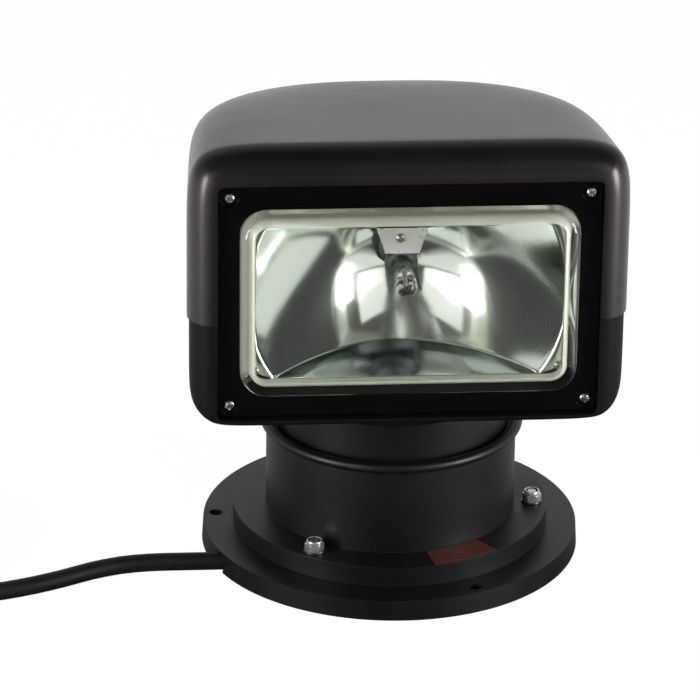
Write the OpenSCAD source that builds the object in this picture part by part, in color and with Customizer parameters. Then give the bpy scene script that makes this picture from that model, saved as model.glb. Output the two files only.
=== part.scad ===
// Marine searchlight with a pan turret and a tilting lamp head.
// Origin: centre of the mounting disc's underside. +Z is up, and the lamp looks along -Y.

/* [Base] */
// Radius of the mounting disc at its top edge
disc_r = 90; // [84:1:108]
// Thickness of the mounting disc
disc_h = 10; // [10:0.5:14]
// Radius of the base flange
flange_r = 75.6; // [74:0.2:79]
// Thickness of the base flange
flange_h = 10; // [8:0.5:14]
// Outer radius of the base barrel
barrel_r = 59.8; // [59:0.2:61]
// Height of the barrel above the flange, to the middle of its rolled rim
barrel_h = 44.4; // [40:0.2:50]
// Wall of the barrel
barrel_wall = 2.6; // [2:0.1:2.8]
// Radius of the rolled rim's bead
bead_r = 2.6; // [2:0.1:3]
// Circle that the deck bolts stand on
deck_pcd = 168; // [164:0.5:170]
// Radius of a deck bolt hole
deck_hole_r = 3.25; // [2.6:0.05:3.4]
// Circle that the flange studs stand on
stud_pcd = 137; // [135:0.5:139]
// Radius of a flange stud
stud_r = 2.5; // [2:0.1:3]

/* [Turret] */
// Outer radius of the turret neck
neck_r = 56; // [55:0.1:56.4]
// Height of the turret deck's top above the mounting surface
neck_top = 84; // [82:0.5:86]
// Wall of the turret neck
neck_wall = 3; // [2:0.25:4]
// Outer radius of the hollow pan shaft
pan_shaft_r = 12.5; // [10.5:0.5:13]
// Radius of the tilt shaft
tilt_shaft_r = 5; // [4:0.25:6]
// Place of the tilt shaft behind the pan axis
tilt_y = 12; // [10:0.5:14]
// Outer face of each yoke arm from the middle
yoke_half = 36; // [34:0.5:37]
// Thickness of a yoke arm
yoke_t = 6; // [4:0.5:7]

/* [Head] */
// Half of the head's width
head_half = 101; // [96:0.5:110]
// Height of the head's crown
head_top = 234; // [226:1:250]
// Height of the head's underside
head_bottom = 97; // [96:0.5:99]
// Front edge of the head
head_front = -86; // [-88:0.5:-84]
// Rear end of the head
head_rear = 91; // [86:1:110]
// Height of the joint between the cover and the lower housing, and of the tilt shaft
split_z = 150; // [146:1:152]
// Wall of the two shells
shell_wall = 3; // [2.4:0.1:3.6]
// How far the cover stands proud of the lower housing
cover_step = 1; // [0.6:0.1:1.6]
// Half width of the lamp recess
recess_x = 87.5; // [86:0.5:89]
// Half height of the lamp recess
recess_z = 57.9; // [56.5:0.1:59]
// Height of the lamp axis
lamp_z = 160; // [159:0.5:161]

/* [Lamp] */
// Half width of the lens body
lens_x = 77.2; // [75:0.2:78]
// Half height of the lens body
lens_z = 45; // [44:0.2:46]
// How far the lens stands out of the bezel
lens_out = 8.1; // [6:0.1:11]
// Thickness of the glass
glass_t = 4.5; // [3:0.25:5.5]
// Thickness of the bezel
bezel_t = 4; // [3:0.25:5]
// Half distance between the bezel screws, across
screw_x = 82; // [81:0.2:82.5]
// Half distance between the bezel screws, up and down
screw_z = 51.2; // [50.4:0.2:51.8]
// Focal length of the reflector
focus = 23.5; // [22:0.25:26]
// Radius of the bowl at its mouth
bowl_r = 74; // [72:0.5:75]
// Half height of the bowl between its flat walls
bowl_z = 41; // [38:0.5:42]

/* [Gears] */
// Teeth on the pan gear
pan_teeth = 48; // [44:4:52]
// Teeth on the whole circle of the tilt sector
sector_teeth = 60; // [60:4:64]
// Teeth on each motor pinion
pinion_teeth = 12; // [12:1:13]
// Module of the pan gears
pan_module = 1.375; // [1.2:0.025:1.4]
// Module of the tilt gears
tilt_module = 1.25; // [1.1:0.025:1.3]
// Play between meshing flanks
backlash = 0.16; // [0.1:0.02:0.3]

/* [Cord] */
// Diameter of the supply cord
cord_d = 8.6; // [7:0.1:8.6]
// Mean radius of the stored coil
coil_r = 48; // [44:1:52]

/* [Hidden] */
$fn = 72;
// Running play of shafts in bushes and of pinions on motor shafts
run_play = 0.05;
// Play of fixed pieces in their seats
seat_play = 0.02;
// Play between panels that drop into one another
panel_play = 0.4;
// Draft of the mounting disc's edge
disc_draft = 0.6;
flange_z = disc_h + flange_h;
rim_z = flange_z + barrel_h;
floor_t = 4;
floor_z = disc_h + floor_t;
barrel_in = barrel_r - barrel_wall;
stud_turn = -6;
deck_turn = 54;
nut_flat = 8;
nut_h = 5;
washer_h = 1;
// Seat of the neck seal in the rim
seal_r = barrel_r - 1.3;
seal_h = 3.5;
seal_gap = 0.3;
// Cord channel through the disc's edge
cord_y = -32.5;
cord_r = cord_d / 2;
cord_z = cord_r + 0.1;
grommet_x = -76;
grommet_t = 6;
lead_x = -26;
lead_bend = 14;
lead_top = 30;
// Pan bearings
race_t = 3;
ball_r = 2.4;
bearing_w = 12;
ball_ring = pan_shaft_r + race_t + ball_r + 0.12;
bearing_out = ball_ring + ball_r + 0.12 + race_t;
ball_count = 10;
tower_wall = 4;
tower_r = bearing_out + tower_wall;
low_bearing_z = floor_z + 2.5;
high_bearing_z = low_bearing_z + 28;
tower_z = high_bearing_z + bearing_w + 1;
pan_gear_z = tower_z + 2;
gear_t = 6;
pan_centre = pan_module * (pan_teeth + pinion_teeth) / 2;
motor_r = 12;
motor_shaft_r = 2;
deck_t = 4;
deck_z = neck_top - deck_t;
skirt_z = rim_z - seal_h - 1;
shaft_flange_r = 24;
shaft_bore = pan_shaft_r - 3.5;
// Yoke and tilt drive
plate_t = 4;
plate_z = neck_top + plate_t;
yoke_y = 12;
plate_y = 15;
arm_in = yoke_half - yoke_t;
bush_wall = 2;
tilt_centre = tilt_module * (sector_teeth + pinion_teeth) / 2;
tilt_motor_z = split_z - tilt_centre;
tilt_motor_r = 11;
tilt_nose_x = -8;
block_x = 42;
block_t = 12;
// Bedding under the pivot blocks, where the shell's floor starts to curve up
block_play = 0.5;
tray_z = split_z + 16;
tray_t = 2;
sector_low = -112;
sector_high = -50;
// Shell stations
nose = 14;
nose_y = head_front + nose;
land = 0.7;
front_square = 60;
top_square = 10;
low_square = 9;
top_rear_square = 2.2;
low_rear_square = 3;
top_square_power = 3.5;
low_square_power = 2;
// Fall of the crown and draft of the sides towards the rear, as shares of the height and the half width
top_fall = 0.29;
side_draft = 0.09;
top_power = 7;
low_power = 2.3;
waist_power = 10;
waist = 0.24;
low_start = 20;
rear_share = 0.99;
nose_steps = 6;
body_steps = 11;
shell_points = 32;
recess_back = head_front + 12;
inner_start = nose_y + 6;
// Opening in the head's floor for the yoke
slot_x = yoke_half + 2.5;
slot_front = tilt_y - 24;
slot_rear = tilt_y + 46;
// Lamp stack, front to back
bezel_y = head_front + 3.5;
bezel_back = bezel_y + bezel_t;
lens_flange = 4;
lens_flange_t = 2.5;
gasket_t = 1.5;
gasket_y = bezel_back + lens_flange_t;
frame_y = gasket_y + gasket_t;
frame_t = 9;
frame_corner = 12;
rim_t = 2;
bowl_depth = bowl_r * bowl_r / (4 * focus);
vertex_y = frame_y + bowl_depth;
bowl_t = 1.5;
bowl_hole = 9;
bulb_r = 5;
clip_r = 19;
bulb_tip_y = vertex_y - 39;
collar_y = vertex_y - clip_r * clip_r / (4 * focus) - 2.7;
boot_y = vertex_y + 6;
socket_end = min(boot_y + 10, tilt_y - 12);
// Cord route on the mounting surface, from the grommet to the coil
cord_route = [
    [grommet_x, cord_y], [-83, cord_y], [-92, cord_y], [-106, -32.4], [-118, -32.7], [-131, -34.8], [-145, -40],
    [-158, -47], [-172, -53.5], [-186, -58.5], [-200, -62.2], [-209, -64.1], [-217.4, -65.2]
];
coil_at = [-250, -13.7];
coil_z = 1.1;
coil_out = coil_r + cord_d;
coil_in = coil_r - cord_d;
tie_t = 0.8;
tie_w = 14;
plug_x = coil_at[0] - coil_r - cord_r;
plug_y = coil_at[1] + sqrt(pow(coil_out, 2) - pow(coil_r, 2)) + 0.5;
tail = 7;
plug_r = 8;
plug_z = plug_r + 0.2;

black_paint = "#232326";
black_plastic = "#2a2829";
gloss_black = "#121214";
steel = "#b9bcc0";
dark_steel = "#6d7074";
rubber = "#1a1a1b";
chrome = "#d9dde2";
brass = "#b99a55";

// Copies of a child on a circle
module around(count, radius, turn) {
    for (i = [0 : count - 1]) rotate(turn + 360 * i / count) translate([radius, 0, 0]) children();
}

// A copy on each side of the middle
module both_sides() {
    children();
    mirror([1, 0, 0]) children();
}

// Four copies at plus and minus x and z on the lamp axis
module lamp_corners(x, z) {
    for (sx = [-1, 1], sz = [-1, 1]) translate([sx * x, 0, lamp_z + sz * z]) children();
}

// A flat outline in X and Z, made solid from y0 to y1
module sheet_y(y0, y1) {
    translate([0, y1, 0]) rotate([90, 0, 0]) linear_extrude(y1 - y0) children();
}

// A flat outline in Y and Z, made solid from x0 to x1
module sheet_x(x0, x1) {
    translate([x0, 0, 0]) rotate([90, 0, 90]) linear_extrude(x1 - x0) children();
}

module rod_x(r, x0, x1) {
    translate([x0, 0, 0]) rotate([0, 90, 0]) cylinder(r = r, h = x1 - x0);
}

module rod_y(r, y0, y1) {
    translate([0, y1, 0]) rotate([90, 0, 0]) cylinder(r = r, h = y1 - y0);
}

module tube(r_out, r_in, h) {
    difference() {
        cylinder(r = r_out, h = h);
        translate([0, 0, -1]) cylinder(r = r_in, h = h + 2);
    }
}

// Rectangle with round corners
module round_rect(x, z, r) {
    square([2 * (x - r), 2 * z], center = true);
    square([2 * x, 2 * (z - r)], center = true);
    for (sx = [-1, 1], sz = [-1, 1]) translate([sx * (x - r), sz * (z - r)]) circle(r);
}

// Pan head screw that points along +Z, its head's underside at z = 0
module pan_screw(r, head_r, head_h, h) {
    translate([0, 0, -head_h * 0.45]) cylinder(r = head_r, h = head_h * 0.45);
    translate([0, 0, -head_h]) cylinder(r1 = head_r * 0.62, r2 = head_r, h = head_h * 0.55);
    cylinder(r = r, h = h);
}

// Involute gear outlines
pressure = 25;
function inv(a) = tan(a) * 180 / PI - a;
function flank(r, base, half) = half + inv(pressure) - inv(acos(min(1, base / r)));
function tooth(teeth, m) =
    let (pitch = teeth * m / 2, base = pitch * cos(pressure), root = pitch - m, top = pitch + 0.8 * m,
        half = 90 / teeth - backlash / 4 / pitch * 180 / PI, low = max(base, root), steps = 4,
        radii = [for (i = [0 : steps]) low + (top - low) * i / steps])
    concat(
        [[root, -flank(low, base, half)]],
        [for (r = radii) [r, -flank(r, base, half)]],
        [for (i = [steps : -1 : 0]) [radii[i], flank(radii[i], base, half)]],
        [[root, flank(low, base, half)]]
    );
function turned(p, a) = [p[0] * cos(p[1] + a), p[0] * sin(p[1] + a)];
module gear_outline(teeth, m, turn) {
    polygon([for (k = [0 : teeth - 1], p = tooth(teeth, m)) turned(p, turn + 360 * k / teeth)]);
}
module sector_outline(teeth, m, low, high) {
    step = 360 / teeth;
    polygon(concat([[0, 0]],
        [for (k = [ceil(low / step) : floor(high / step)], p = tooth(teeth, m)) turned(p, k * step)]));
}

// Rings of equal point counts, skinned into one closed solid with flat ends
module skin(rings) {
    n = len(rings[0]);
    m = len(rings);
    polyhedron(
        points = [for (ring = rings, p = ring) p],
        faces = concat(
            [[for (i = [0 : n - 1]) i]],
            [for (j = [0 : m - 2], i = [0 : n - 1]) [j * n + i, (j + 1) * n + i, j * n + (i + 1) % n]],
            [for (j = [0 : m - 2], i = [0 : n - 1])
                [j * n + (i + 1) % n, (j + 1) * n + i, (j + 1) * n + (i + 1) % n]],
            [[for (i = [n - 1 : -1 : 0]) (m - 1) * n + i]]
        )
    );
}

// Head shells: half rings in X and Z, set along Y
function share(y) = min(1, max(0, (y - nose_y) / (head_rear - nose_y)));
function low_share(y) = min(1, max(0, (y - low_start) / (head_rear - low_start)));
function half_at(y, full) = full * (1 - side_draft * share(y) - waist * pow(share(y), waist_power));
function rise_at(y, full) = full * (1 - top_fall * share(y)) * pow(1 - pow(share(y), top_power), 1 / top_power);
function drop_at(y, full) = full * pow(1 - pow(low_share(y), low_power), 1 / low_power);
// Squareness of a ring: blended between two powers by a share
function blend(a, b, s) = 1 / (1 / a + (1 / b - 1 / a) * s);
function square_at(y, side) = side > 0
    ? blend(top_square, top_rear_square, pow(share(y), top_square_power))
    : blend(low_square, low_rear_square, pow(low_share(y), low_square_power));
function half_ring(x, h, power, y) = [
    for (i = [0 : shell_points])
        let (t = 180 * i / shell_points, c = cos(t), s = sin(t))
        [x * sign(c) * pow(abs(c), 2 / power), y, split_z + h * pow(abs(s), 2 / power)]
];
function station(j) = nose_y + (head_rear - nose_y) * rear_share * sin(90 * j / body_steps);
function inner_y(j) = inner_start
    + (station(body_steps) - shell_wall - inner_start) * (station(j) - nose_y) / (station(body_steps) - nose_y);

// side is 1 for the cover and -1 for the lower housing
function height_at(y, side, inset) =
    side > 0 ? rise_at(y, head_top - split_z) - inset : -drop_at(y, split_z - head_bottom) + inset;
function recess_height(side) = lamp_z - split_z + side * recess_z;
function outer_rings(side, half) = concat(
    [for (j = [0 : nose_steps])
        let (a = 90 * j / nose_steps, s = sin(a), h0 = recess_height(side) + side * land)
        half_ring(recess_x + land + (half - recess_x - land) * s, h0 + (height_at(nose_y, side, 0) - h0) * s,
            blend(front_square, square_at(nose_y, side), s), head_front + nose * (1 - cos(a)))],
    [for (j = [1 : body_steps])
        half_ring(half_at(station(j), half), height_at(station(j), side, 0), square_at(station(j), side),
            station(j))]
);
function inner_rings(side, half) = concat(
    [for (j = [0 : 2])
        half_ring(recess_x, recess_height(side), front_square, head_front + (recess_back - head_front) * j / 2)],
    [for (j = [3 : nose_steps])
        let (s = (j - 2) / (nose_steps - 2), h = height_at(inner_start, side, shell_wall))
        half_ring(recess_x + (half - shell_wall - recess_x) * s,
            recess_height(side) + (h - recess_height(side)) * s,
            blend(front_square, square_at(nose_y, side), s), recess_back + (inner_start - recess_back) * s)],
    [for (j = [1 : body_steps])
        half_ring(half_at(inner_y(j), half) - shell_wall, height_at(inner_y(j), side, shell_wall),
            square_at(inner_y(j), side), inner_y(j))]
);

// Half shell: an outer and an inner skin, closed at the front edge, the joint plane and the rear
module half_shell(side, half) {
    outer = outer_rings(side, half);
    inner = inner_rings(side, half);
    n = shell_points + 1;
    m = len(outer);
    total = n * m;
    quads = concat(
        [for (j = [0 : m - 2], i = [0 : n - 2])
            [j * n + i, j * n + i + 1, (j + 1) * n + i + 1, (j + 1) * n + i]],
        [for (j = [0 : m - 2], i = [0 : n - 2])
            [total + j * n + i, total + (j + 1) * n + i, total + (j + 1) * n + i + 1, total + j * n + i + 1]],
        [for (i = [0 : n - 2]) [i, total + i, total + i + 1, i + 1]],
        [for (j = [0 : m - 2]) [j * n, (j + 1) * n, total + (j + 1) * n, total + j * n]],
        [for (j = [0 : m - 2])
            [j * n + n - 1, total + j * n + n - 1, total + (j + 1) * n + n - 1, (j + 1) * n + n - 1]],
        [[total - n, total - 1, 2 * total - 1, 2 * total - n]]
    );
    caps = [
        [for (i = [0 : n - 1]) total - n + i],
        [for (i = [n - 1 : -1 : 0]) 2 * total - n + i]
    ];
    sides = concat(
        [for (q = quads) [q[0], q[1], q[2]]],
        [for (q = quads) [q[0], q[2], q[3]]],
        caps
    );
    polyhedron(
        points = concat([for (r = outer, p = r) p], [for (r = inner, p = r) p]),
        faces = side > 0 ? sides : [for (f = sides) [for (i = [len(f) - 1 : -1 : 0]) f[i]]]
    );
}

// Base

module deck_holes() {
    around(3, deck_pcd / 2, deck_turn) translate([0, 0, -1]) cylinder(r = deck_hole_r, h = disc_h + 2);
}

module mounting_disc() color(black_paint) {
    difference() {
        cylinder(r1 = disc_r + disc_draft, r2 = disc_r, h = disc_h);
        deck_holes();
        around(3, stud_pcd / 2, stud_turn) {
            translate([0, 0, -1]) cylinder(r = stud_r + 0.25, h = disc_h + 2);
            translate([0, 0, -1]) cylinder(r = 5.5, h = 5.5);
        }
        // Hollow underside, with the web above it
        translate([0, 0, -1]) cylinder(r = 58, h = 6);
        // Cord channel and the grommet's pocket
        translate([-disc_r - 2, cord_y, cord_z]) rotate([0, 90, 0]) cylinder(r = cord_r + 0.2, h = disc_r - 30);
        translate([-disc_r - 2, cord_y - cord_r - 0.2, -1]) cube([disc_r - 30, cord_d + 0.4, cord_z + 1]);
        translate([grommet_x, cord_y - 7, -1]) cube([grommet_t, 14, cord_z + cord_r + 1.2]);
        translate([lead_x, cord_y, -1]) cylinder(r = cord_r + 1.2, h = disc_h + 2);
        translate([lead_x - lead_bend - cord_r, cord_y - cord_r - 0.4, -1])
            cube([lead_bend + cord_r, cord_d + 0.8, disc_h + 2]);
        // Groove for the flange seal
        translate([0, 0, disc_h - 1]) tube(55.4, 52.6, 2);
    }
}

module flange_seal() color(rubber) {
    translate([0, 0, disc_h - 1]) tube(55.2, 52.8, 1);
}

module base_housing() color(black_paint) {
    difference() {
        union() {
            translate([0, 0, disc_h]) cylinder(r = flange_r, h = flange_h);
            translate([0, 0, disc_h]) cylinder(r = barrel_r, h = rim_z - disc_h);
            translate([0, 0, rim_z]) rotate_extrude() translate([barrel_r + bead_r - 2, 0]) circle(bead_r);
        }
        translate([0, 0, floor_z]) cylinder(r = barrel_in, h = rim_z);
        translate([0, 0, rim_z - seal_h]) cylinder(r = seal_r, h = seal_h + bead_r + 1);
        around(3, stud_pcd / 2, stud_turn) cylinder(r = stud_r + 0.25, h = flange_z + 2);
        translate([0, 0, disc_h - 1]) cylinder(r = bearing_out - 4, h = floor_t + 2);
        translate([lead_x, cord_y, disc_h - 1]) cylinder(r = cord_r + 0.4, h = floor_t + 2);
        translate([lead_x - lead_bend - cord_r, cord_y - cord_r - 0.4, disc_h - 1])
            cube([lead_bend + cord_r, cord_d + 0.8, floor_t + 2]);
        pan_motor_holes();
    }
    // Bearing tower on the floor
    difference() {
        translate([0, 0, floor_z]) cylinder(r = tower_r, h = tower_z - floor_z);
        translate([0, 0, low_bearing_z]) cylinder(r = bearing_out + seat_play, h = tower_z);
        translate([0, 0, floor_z - 1]) cylinder(r = bearing_out - 4, h = tower_z);
    }
}

module flange_studs() color(steel) {
    around(3, stud_pcd / 2, stud_turn) {
        translate([0, 0, 0.5]) cylinder(r = 4.6, h = 4, $fn = 6);
        cylinder(r = stud_r, h = flange_z + washer_h + nut_h + 2);
    }
}

module flange_washers() color(steel) {
    around(3, stud_pcd / 2, stud_turn) translate([0, 0, flange_z]) tube(5, stud_r + seat_play, washer_h);
}

module flange_nuts() color(steel) {
    around(3, stud_pcd / 2, stud_turn) translate([0, 0, flange_z + washer_h]) difference() {
        intersection() {
            cylinder(r = nut_flat / sqrt(3), h = nut_h, $fn = 6);
            cylinder(r1 = nut_flat / 2 + 3.6, r2 = nut_flat / 2, h = nut_h + 0.4);
        }
        translate([0, 0, -1]) cylinder(r = stud_r + seat_play, h = nut_h + 2);
    }
}

module seal_strip() color("#4a211c") {
    translate([0, 0, flange_z]) rotate(-78) rotate_extrude(angle = 26)
        translate([barrel_r + 0.6, 0]) square([flange_r - barrel_r - 1.8, 0.3]);
}

module neck_seal() color(rubber) {
    translate([0, 0, rim_z - seal_h]) tube(seal_r - seat_play, neck_r + seal_gap, seal_h);
}

module cord_grommet() color(rubber) {
    translate([grommet_x + 0.05, cord_y - 6.8, 0.1]) cube([grommet_t - 0.1, 13.6, cord_z + cord_r]);
}

module supply_lead() color(rubber) {
    translate([0, cord_y, cord_z]) rod_x(cord_r, grommet_x + grommet_t, lead_x - lead_bend);
    translate([lead_x - lead_bend, cord_y, cord_z + lead_bend]) rotate([90, 0, 0])
        rotate([0, 0, -90]) rotate_extrude(angle = 90) translate([lead_bend, 0]) circle(cord_r);
    translate([lead_x, cord_y, cord_z + lead_bend]) cylinder(r = cord_r, h = lead_top - cord_z - lead_bend);
}

module bearing_outer_rings() color(steel) {
    for (z = [low_bearing_z, high_bearing_z]) translate([0, 0, z])
        tube(bearing_out, bearing_out - race_t, bearing_w);
    // Spacer between the two outer rings
    translate([0, 0, low_bearing_z + bearing_w])
        tube(bearing_out, bearing_out - 2, high_bearing_z - low_bearing_z - bearing_w);
}

module bearing_balls() color(chrome) {
    for (z = [low_bearing_z, high_bearing_z])
        translate([0, 0, z + bearing_w / 2]) around(ball_count, ball_ring, 0) sphere(ball_r);
}

module pan_motor_holes() {
    translate([0, pan_centre, disc_h - 1]) for (sx = [-1, 1])
        translate([sx * 7, 0, 0]) cylinder(r = 1.6, h = floor_t + 2);
}

module pan_motor() color(dark_steel) {
    difference() {
        translate([0, pan_centre, floor_z]) {
            cylinder(r = motor_r, h = 24);
            translate([0, 0, 24]) cylinder(r = motor_r - 1, h = pan_gear_z - floor_z - 27);
            translate([0, 0, pan_gear_z - floor_z - 3]) cylinder(r = 4, h = 2.4);
            cylinder(r = motor_shaft_r, h = pan_gear_z + gear_t + 1 - floor_z);
        }
        translate([0, pan_centre, floor_z - 1]) for (sx = [-1, 1])
            translate([sx * 7, 0, 0]) cylinder(r = 1.5 + seat_play, h = 7);
    }
}

module pan_motor_screws() color(steel) {
    translate([0, pan_centre, disc_h]) for (sx = [-1, 1]) translate([sx * 7, 0, 0])
        cylinder(r = 1.5, h = floor_t + 5);
}

module control_board() color("#1f5a35") {
    translate([-18, -50, floor_z + 6]) cube([44, 17, 1.6]);
}

module board_relays() color("#20242c") {
    for (i = [0 : 2]) translate([-15 + 14 * i, -48, floor_z + 7.6]) cube([11, 13, 12]);
}

module board_posts() color(brass) {
    for (x = [-14.5, 22.5], y = [-46.5, -36.5]) translate([x, y, floor_z]) cylinder(r = 2.4, h = 6);
}

module pan_pinion() color(brass) {
    translate([0, pan_centre, pan_gear_z]) difference() {
        linear_extrude(gear_t) gear_outline(pinion_teeth, pan_module, -90 + 180 / pinion_teeth);
        translate([0, 0, -1]) cylinder(r = motor_shaft_r + run_play, h = gear_t + 2);
    }
}

// Turret

module turret_body() color(black_paint) {
    difference() {
        translate([0, 0, skirt_z]) cylinder(r = neck_r, h = neck_top - skirt_z);
        translate([0, 0, skirt_z - 1]) cylinder(r = neck_r - neck_wall, h = deck_z - skirt_z + 1);
        translate([0, 0, deck_z - 1]) cylinder(r = shaft_bore, h = deck_t + 2);
        around(4, shaft_flange_r - 5, 45) translate([0, 0, deck_z - 1]) cylinder(r = 2 + seat_play, h = deck_t + 2);
        yoke_screw_places() translate([0, 0, deck_z - 1]) cylinder(r = 2 + seat_play, h = deck_t + 2);
    }
}

module pan_shaft() color(steel) {
    difference() {
        union() {
            translate([0, 0, floor_z]) cylinder(r = pan_shaft_r, h = deck_z - floor_z);
            translate([0, 0, deck_z - 4]) cylinder(r = shaft_flange_r, h = 4);
        }
        translate([0, 0, floor_z - 1]) cylinder(r = shaft_bore, h = deck_z);
        around(4, shaft_flange_r - 5, 45) translate([0, 0, deck_z - 5]) cylinder(r = 2 + seat_play, h = 6);
        translate([0, 0, floor_z + 0.6]) tube(pan_shaft_r + 1, pan_shaft_r - 0.8, 1.6);
    }
}

module pan_shaft_screws() color(steel) {
    around(4, shaft_flange_r - 5, 45) translate([0, 0, deck_z - 4]) pan_screw(2, 3.5, 2.4, deck_t + 3.5);
}

module pan_gear() color(steel) {
    translate([0, 0, pan_gear_z]) difference() {
        union() {
            linear_extrude(gear_t) gear_outline(pan_teeth, pan_module, 0);
            cylinder(r = pan_shaft_r + 5, h = deck_z - 4 - pan_gear_z);
        }
        translate([0, 0, -1]) cylinder(r = pan_shaft_r + seat_play, h = 40);
        around(4, shaft_flange_r - 5, 45) translate([0, 0, gear_t + 0.5]) cylinder(r = 4, h = 30);
        around(6, 25, 0) translate([0, 0, -1]) cylinder(r = 4.5, h = gear_t + 2);
    }
}

module bearing_inner_rings() color(steel) {
    for (z = [low_bearing_z, high_bearing_z]) translate([0, 0, z])
        tube(pan_shaft_r + race_t, pan_shaft_r + seat_play, bearing_w);
    // Sleeves that hold the rings between the circlip and the gear
    translate([0, 0, low_bearing_z + bearing_w])
        tube(pan_shaft_r + 2, pan_shaft_r + seat_play, high_bearing_z - low_bearing_z - bearing_w);
    translate([0, 0, high_bearing_z + bearing_w])
        tube(pan_shaft_r + 2, pan_shaft_r + seat_play, pan_gear_z - high_bearing_z - bearing_w);
}

module shaft_circlip() color(dark_steel) {
    translate([0, 0, floor_z + 0.7]) difference() {
        tube(pan_shaft_r + 1.6, pan_shaft_r - 0.75, 1.4);
        translate([pan_shaft_r - 4, -2.5, -1]) cube([8, 5, 4]);
    }
}

module wiring_loom() color(rubber) {
    translate([0, 0, floor_z - 2]) cylinder(r = shaft_bore - 3, h = neck_top + 2 - floor_z);
    translate([0, 0, deck_z]) tube(shaft_bore - 0.05, shaft_bore - 3 + seat_play, deck_t);
}

module yoke_screw_places() {
    for (sx = [-1, 1], sy = [-1, 1]) translate([sx * (arm_in - 6), tilt_y + sy * (plate_y - 5), 0]) children();
}

module yoke() color(dark_steel) {
    difference() {
        union() {
            translate([-yoke_half, tilt_y - plate_y, neck_top]) cube([2 * yoke_half, 2 * plate_y, plate_t]);
            both_sides() translate([0, tilt_y, 0]) sheet_x(arm_in, yoke_half) {
                translate([0, split_z]) circle(yoke_y);
                translate([-yoke_y, neck_top]) square([2 * yoke_y, split_z - neck_top]);
            }
        }
        translate([0, tilt_y, split_z]) rod_x(tilt_shaft_r + bush_wall + seat_play, -yoke_half - 1, yoke_half + 1);
        translate([0, 0, neck_top - 1]) cylinder(r = shaft_bore, h = plate_t + 2);
        yoke_screw_places() translate([0, 0, neck_top - 1]) cylinder(r = 2 + seat_play, h = plate_t + 2);
        tilt_motor_screw_places() rod_x(1.5 + seat_play, -yoke_half - 1, -arm_in + 1);
        // Lightening window in each arm
        both_sides() translate([0, tilt_y, split_z - 24]) rod_x(6, arm_in - 1, yoke_half + 1);
    }
}

module yoke_screws() color(steel) {
    yoke_screw_places() translate([0, 0, plate_z]) mirror([0, 0, 1]) pan_screw(2, 3.5, 2.4, plate_t + deck_t);
}

module tilt_bushes() color(brass) {
    both_sides() translate([0, tilt_y, split_z]) difference() {
        union() {
            rod_x(tilt_shaft_r + bush_wall, arm_in - 1.5, yoke_half);
            rod_x(tilt_shaft_r + bush_wall + 3, arm_in - 1.5, arm_in);
        }
        rod_x(tilt_shaft_r + run_play, arm_in - 3, yoke_half + 1);
    }
}

module tilt_motor_screw_places() {
    for (sy = [-1, 1]) translate([0, tilt_y + sy * 7, tilt_motor_z]) children();
}

module tilt_motor() color(dark_steel) {
    difference() {
        translate([0, tilt_y, tilt_motor_z]) {
            rod_x(tilt_motor_r, -arm_in, tilt_nose_x - 6);
            rod_x(tilt_motor_r - 1, tilt_nose_x - 6.1, tilt_nose_x - 2);
            rod_x(4, tilt_nose_x - 2.1, tilt_nose_x);
            rod_x(motor_shaft_r, tilt_nose_x - 1, gear_t / 2 + 1);
        }
        tilt_motor_screw_places() rod_x(1.5 + seat_play, -arm_in - 1, -arm_in + 6);
    }
}

module tilt_motor_screws() color(steel) {
    tilt_motor_screw_places() translate([-yoke_half, 0, 0]) rotate([0, 90, 0]) pan_screw(1.5, 2.7, 2, yoke_t + 5);
}

module tilt_pinion() color(brass) {
    translate([0, tilt_y, tilt_motor_z]) difference() {
        union() {
            sheet_x(-gear_t / 2 - 1, gear_t / 2 + 1) gear_outline(pinion_teeth, tilt_module, 90 + 180 / pinion_teeth);
            rod_x(4, -gear_t / 2 - 3, -gear_t / 2);
        }
        rod_x(motor_shaft_r + run_play, -gear_t, gear_t);
    }
}

// Head

cover_boss_r = 5.4;
module cover_boss_places() {
    for (sx = [-1, 1], y = [-46, 44])
        translate([sx * (half_at(y, head_half) - shell_wall - cover_boss_r + 0.6), y, 0]) children();
}

module lower_housing() color(black_plastic) {
    difference() {
        union() {
            half_shell(-1, head_half - cover_step);
            cover_boss_places() translate([0, 0, split_z - 22]) cylinder(r = cover_boss_r, h = 22);
        }
        translate([-slot_x, slot_front, head_bottom - 5])
            cube([2 * slot_x, slot_rear - slot_front, split_z - head_bottom - 25]);
        cover_boss_places() translate([0, 0, split_z - 23]) cylinder(r = 1.6, h = 30);
        block_screw_places() translate([0, 0, head_bottom - 1]) cylinder(r = 2 + seat_play, h = shell_wall + 3);
    }
}

module upper_cover() color(black_plastic) {
    difference() {
        union() {
            half_shell(1, head_half);
            cover_boss_places() translate([0, 0, split_z]) cylinder(r = cover_boss_r, h = 20);
        }
        cover_boss_places() translate([0, 0, split_z - 1]) cylinder(r = 1.5 + seat_play, h = 15);
    }
}

module cover_screws() color(steel) {
    cover_boss_places() translate([0, 0, split_z - 22]) pan_screw(1.5, 3, 2, 32);
}

module lamp_frame() color(black_plastic) {
    difference() {
        union() {
            translate([0, 0, lamp_z]) sheet_y(frame_y, frame_y + frame_t)
                round_rect(recess_x - panel_play, recess_z - panel_play, frame_corner);
            lamp_corners(screw_x, screw_z) rod_y(4.5, bezel_back, frame_y + 1);
        }
        translate([0, 0, lamp_z]) {
            sheet_y(frame_y - 1, frame_y + rim_t) round_rect(lens_x + 2.4, lens_z + 2.4, 10);
            sheet_y(frame_y + 1, frame_y + frame_t + 1) round_rect(bowl_r + 2, bowl_z + bowl_t + 0.8, 6);
        }
        lamp_corners(screw_x, screw_z) rod_y(1.5 + seat_play, bezel_back - 1, frame_y + 6);
        lamp_corners(bowl_r - 4, bowl_z - 4) rod_y(1.2, frame_y, frame_y + frame_t);
    }
}

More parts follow.
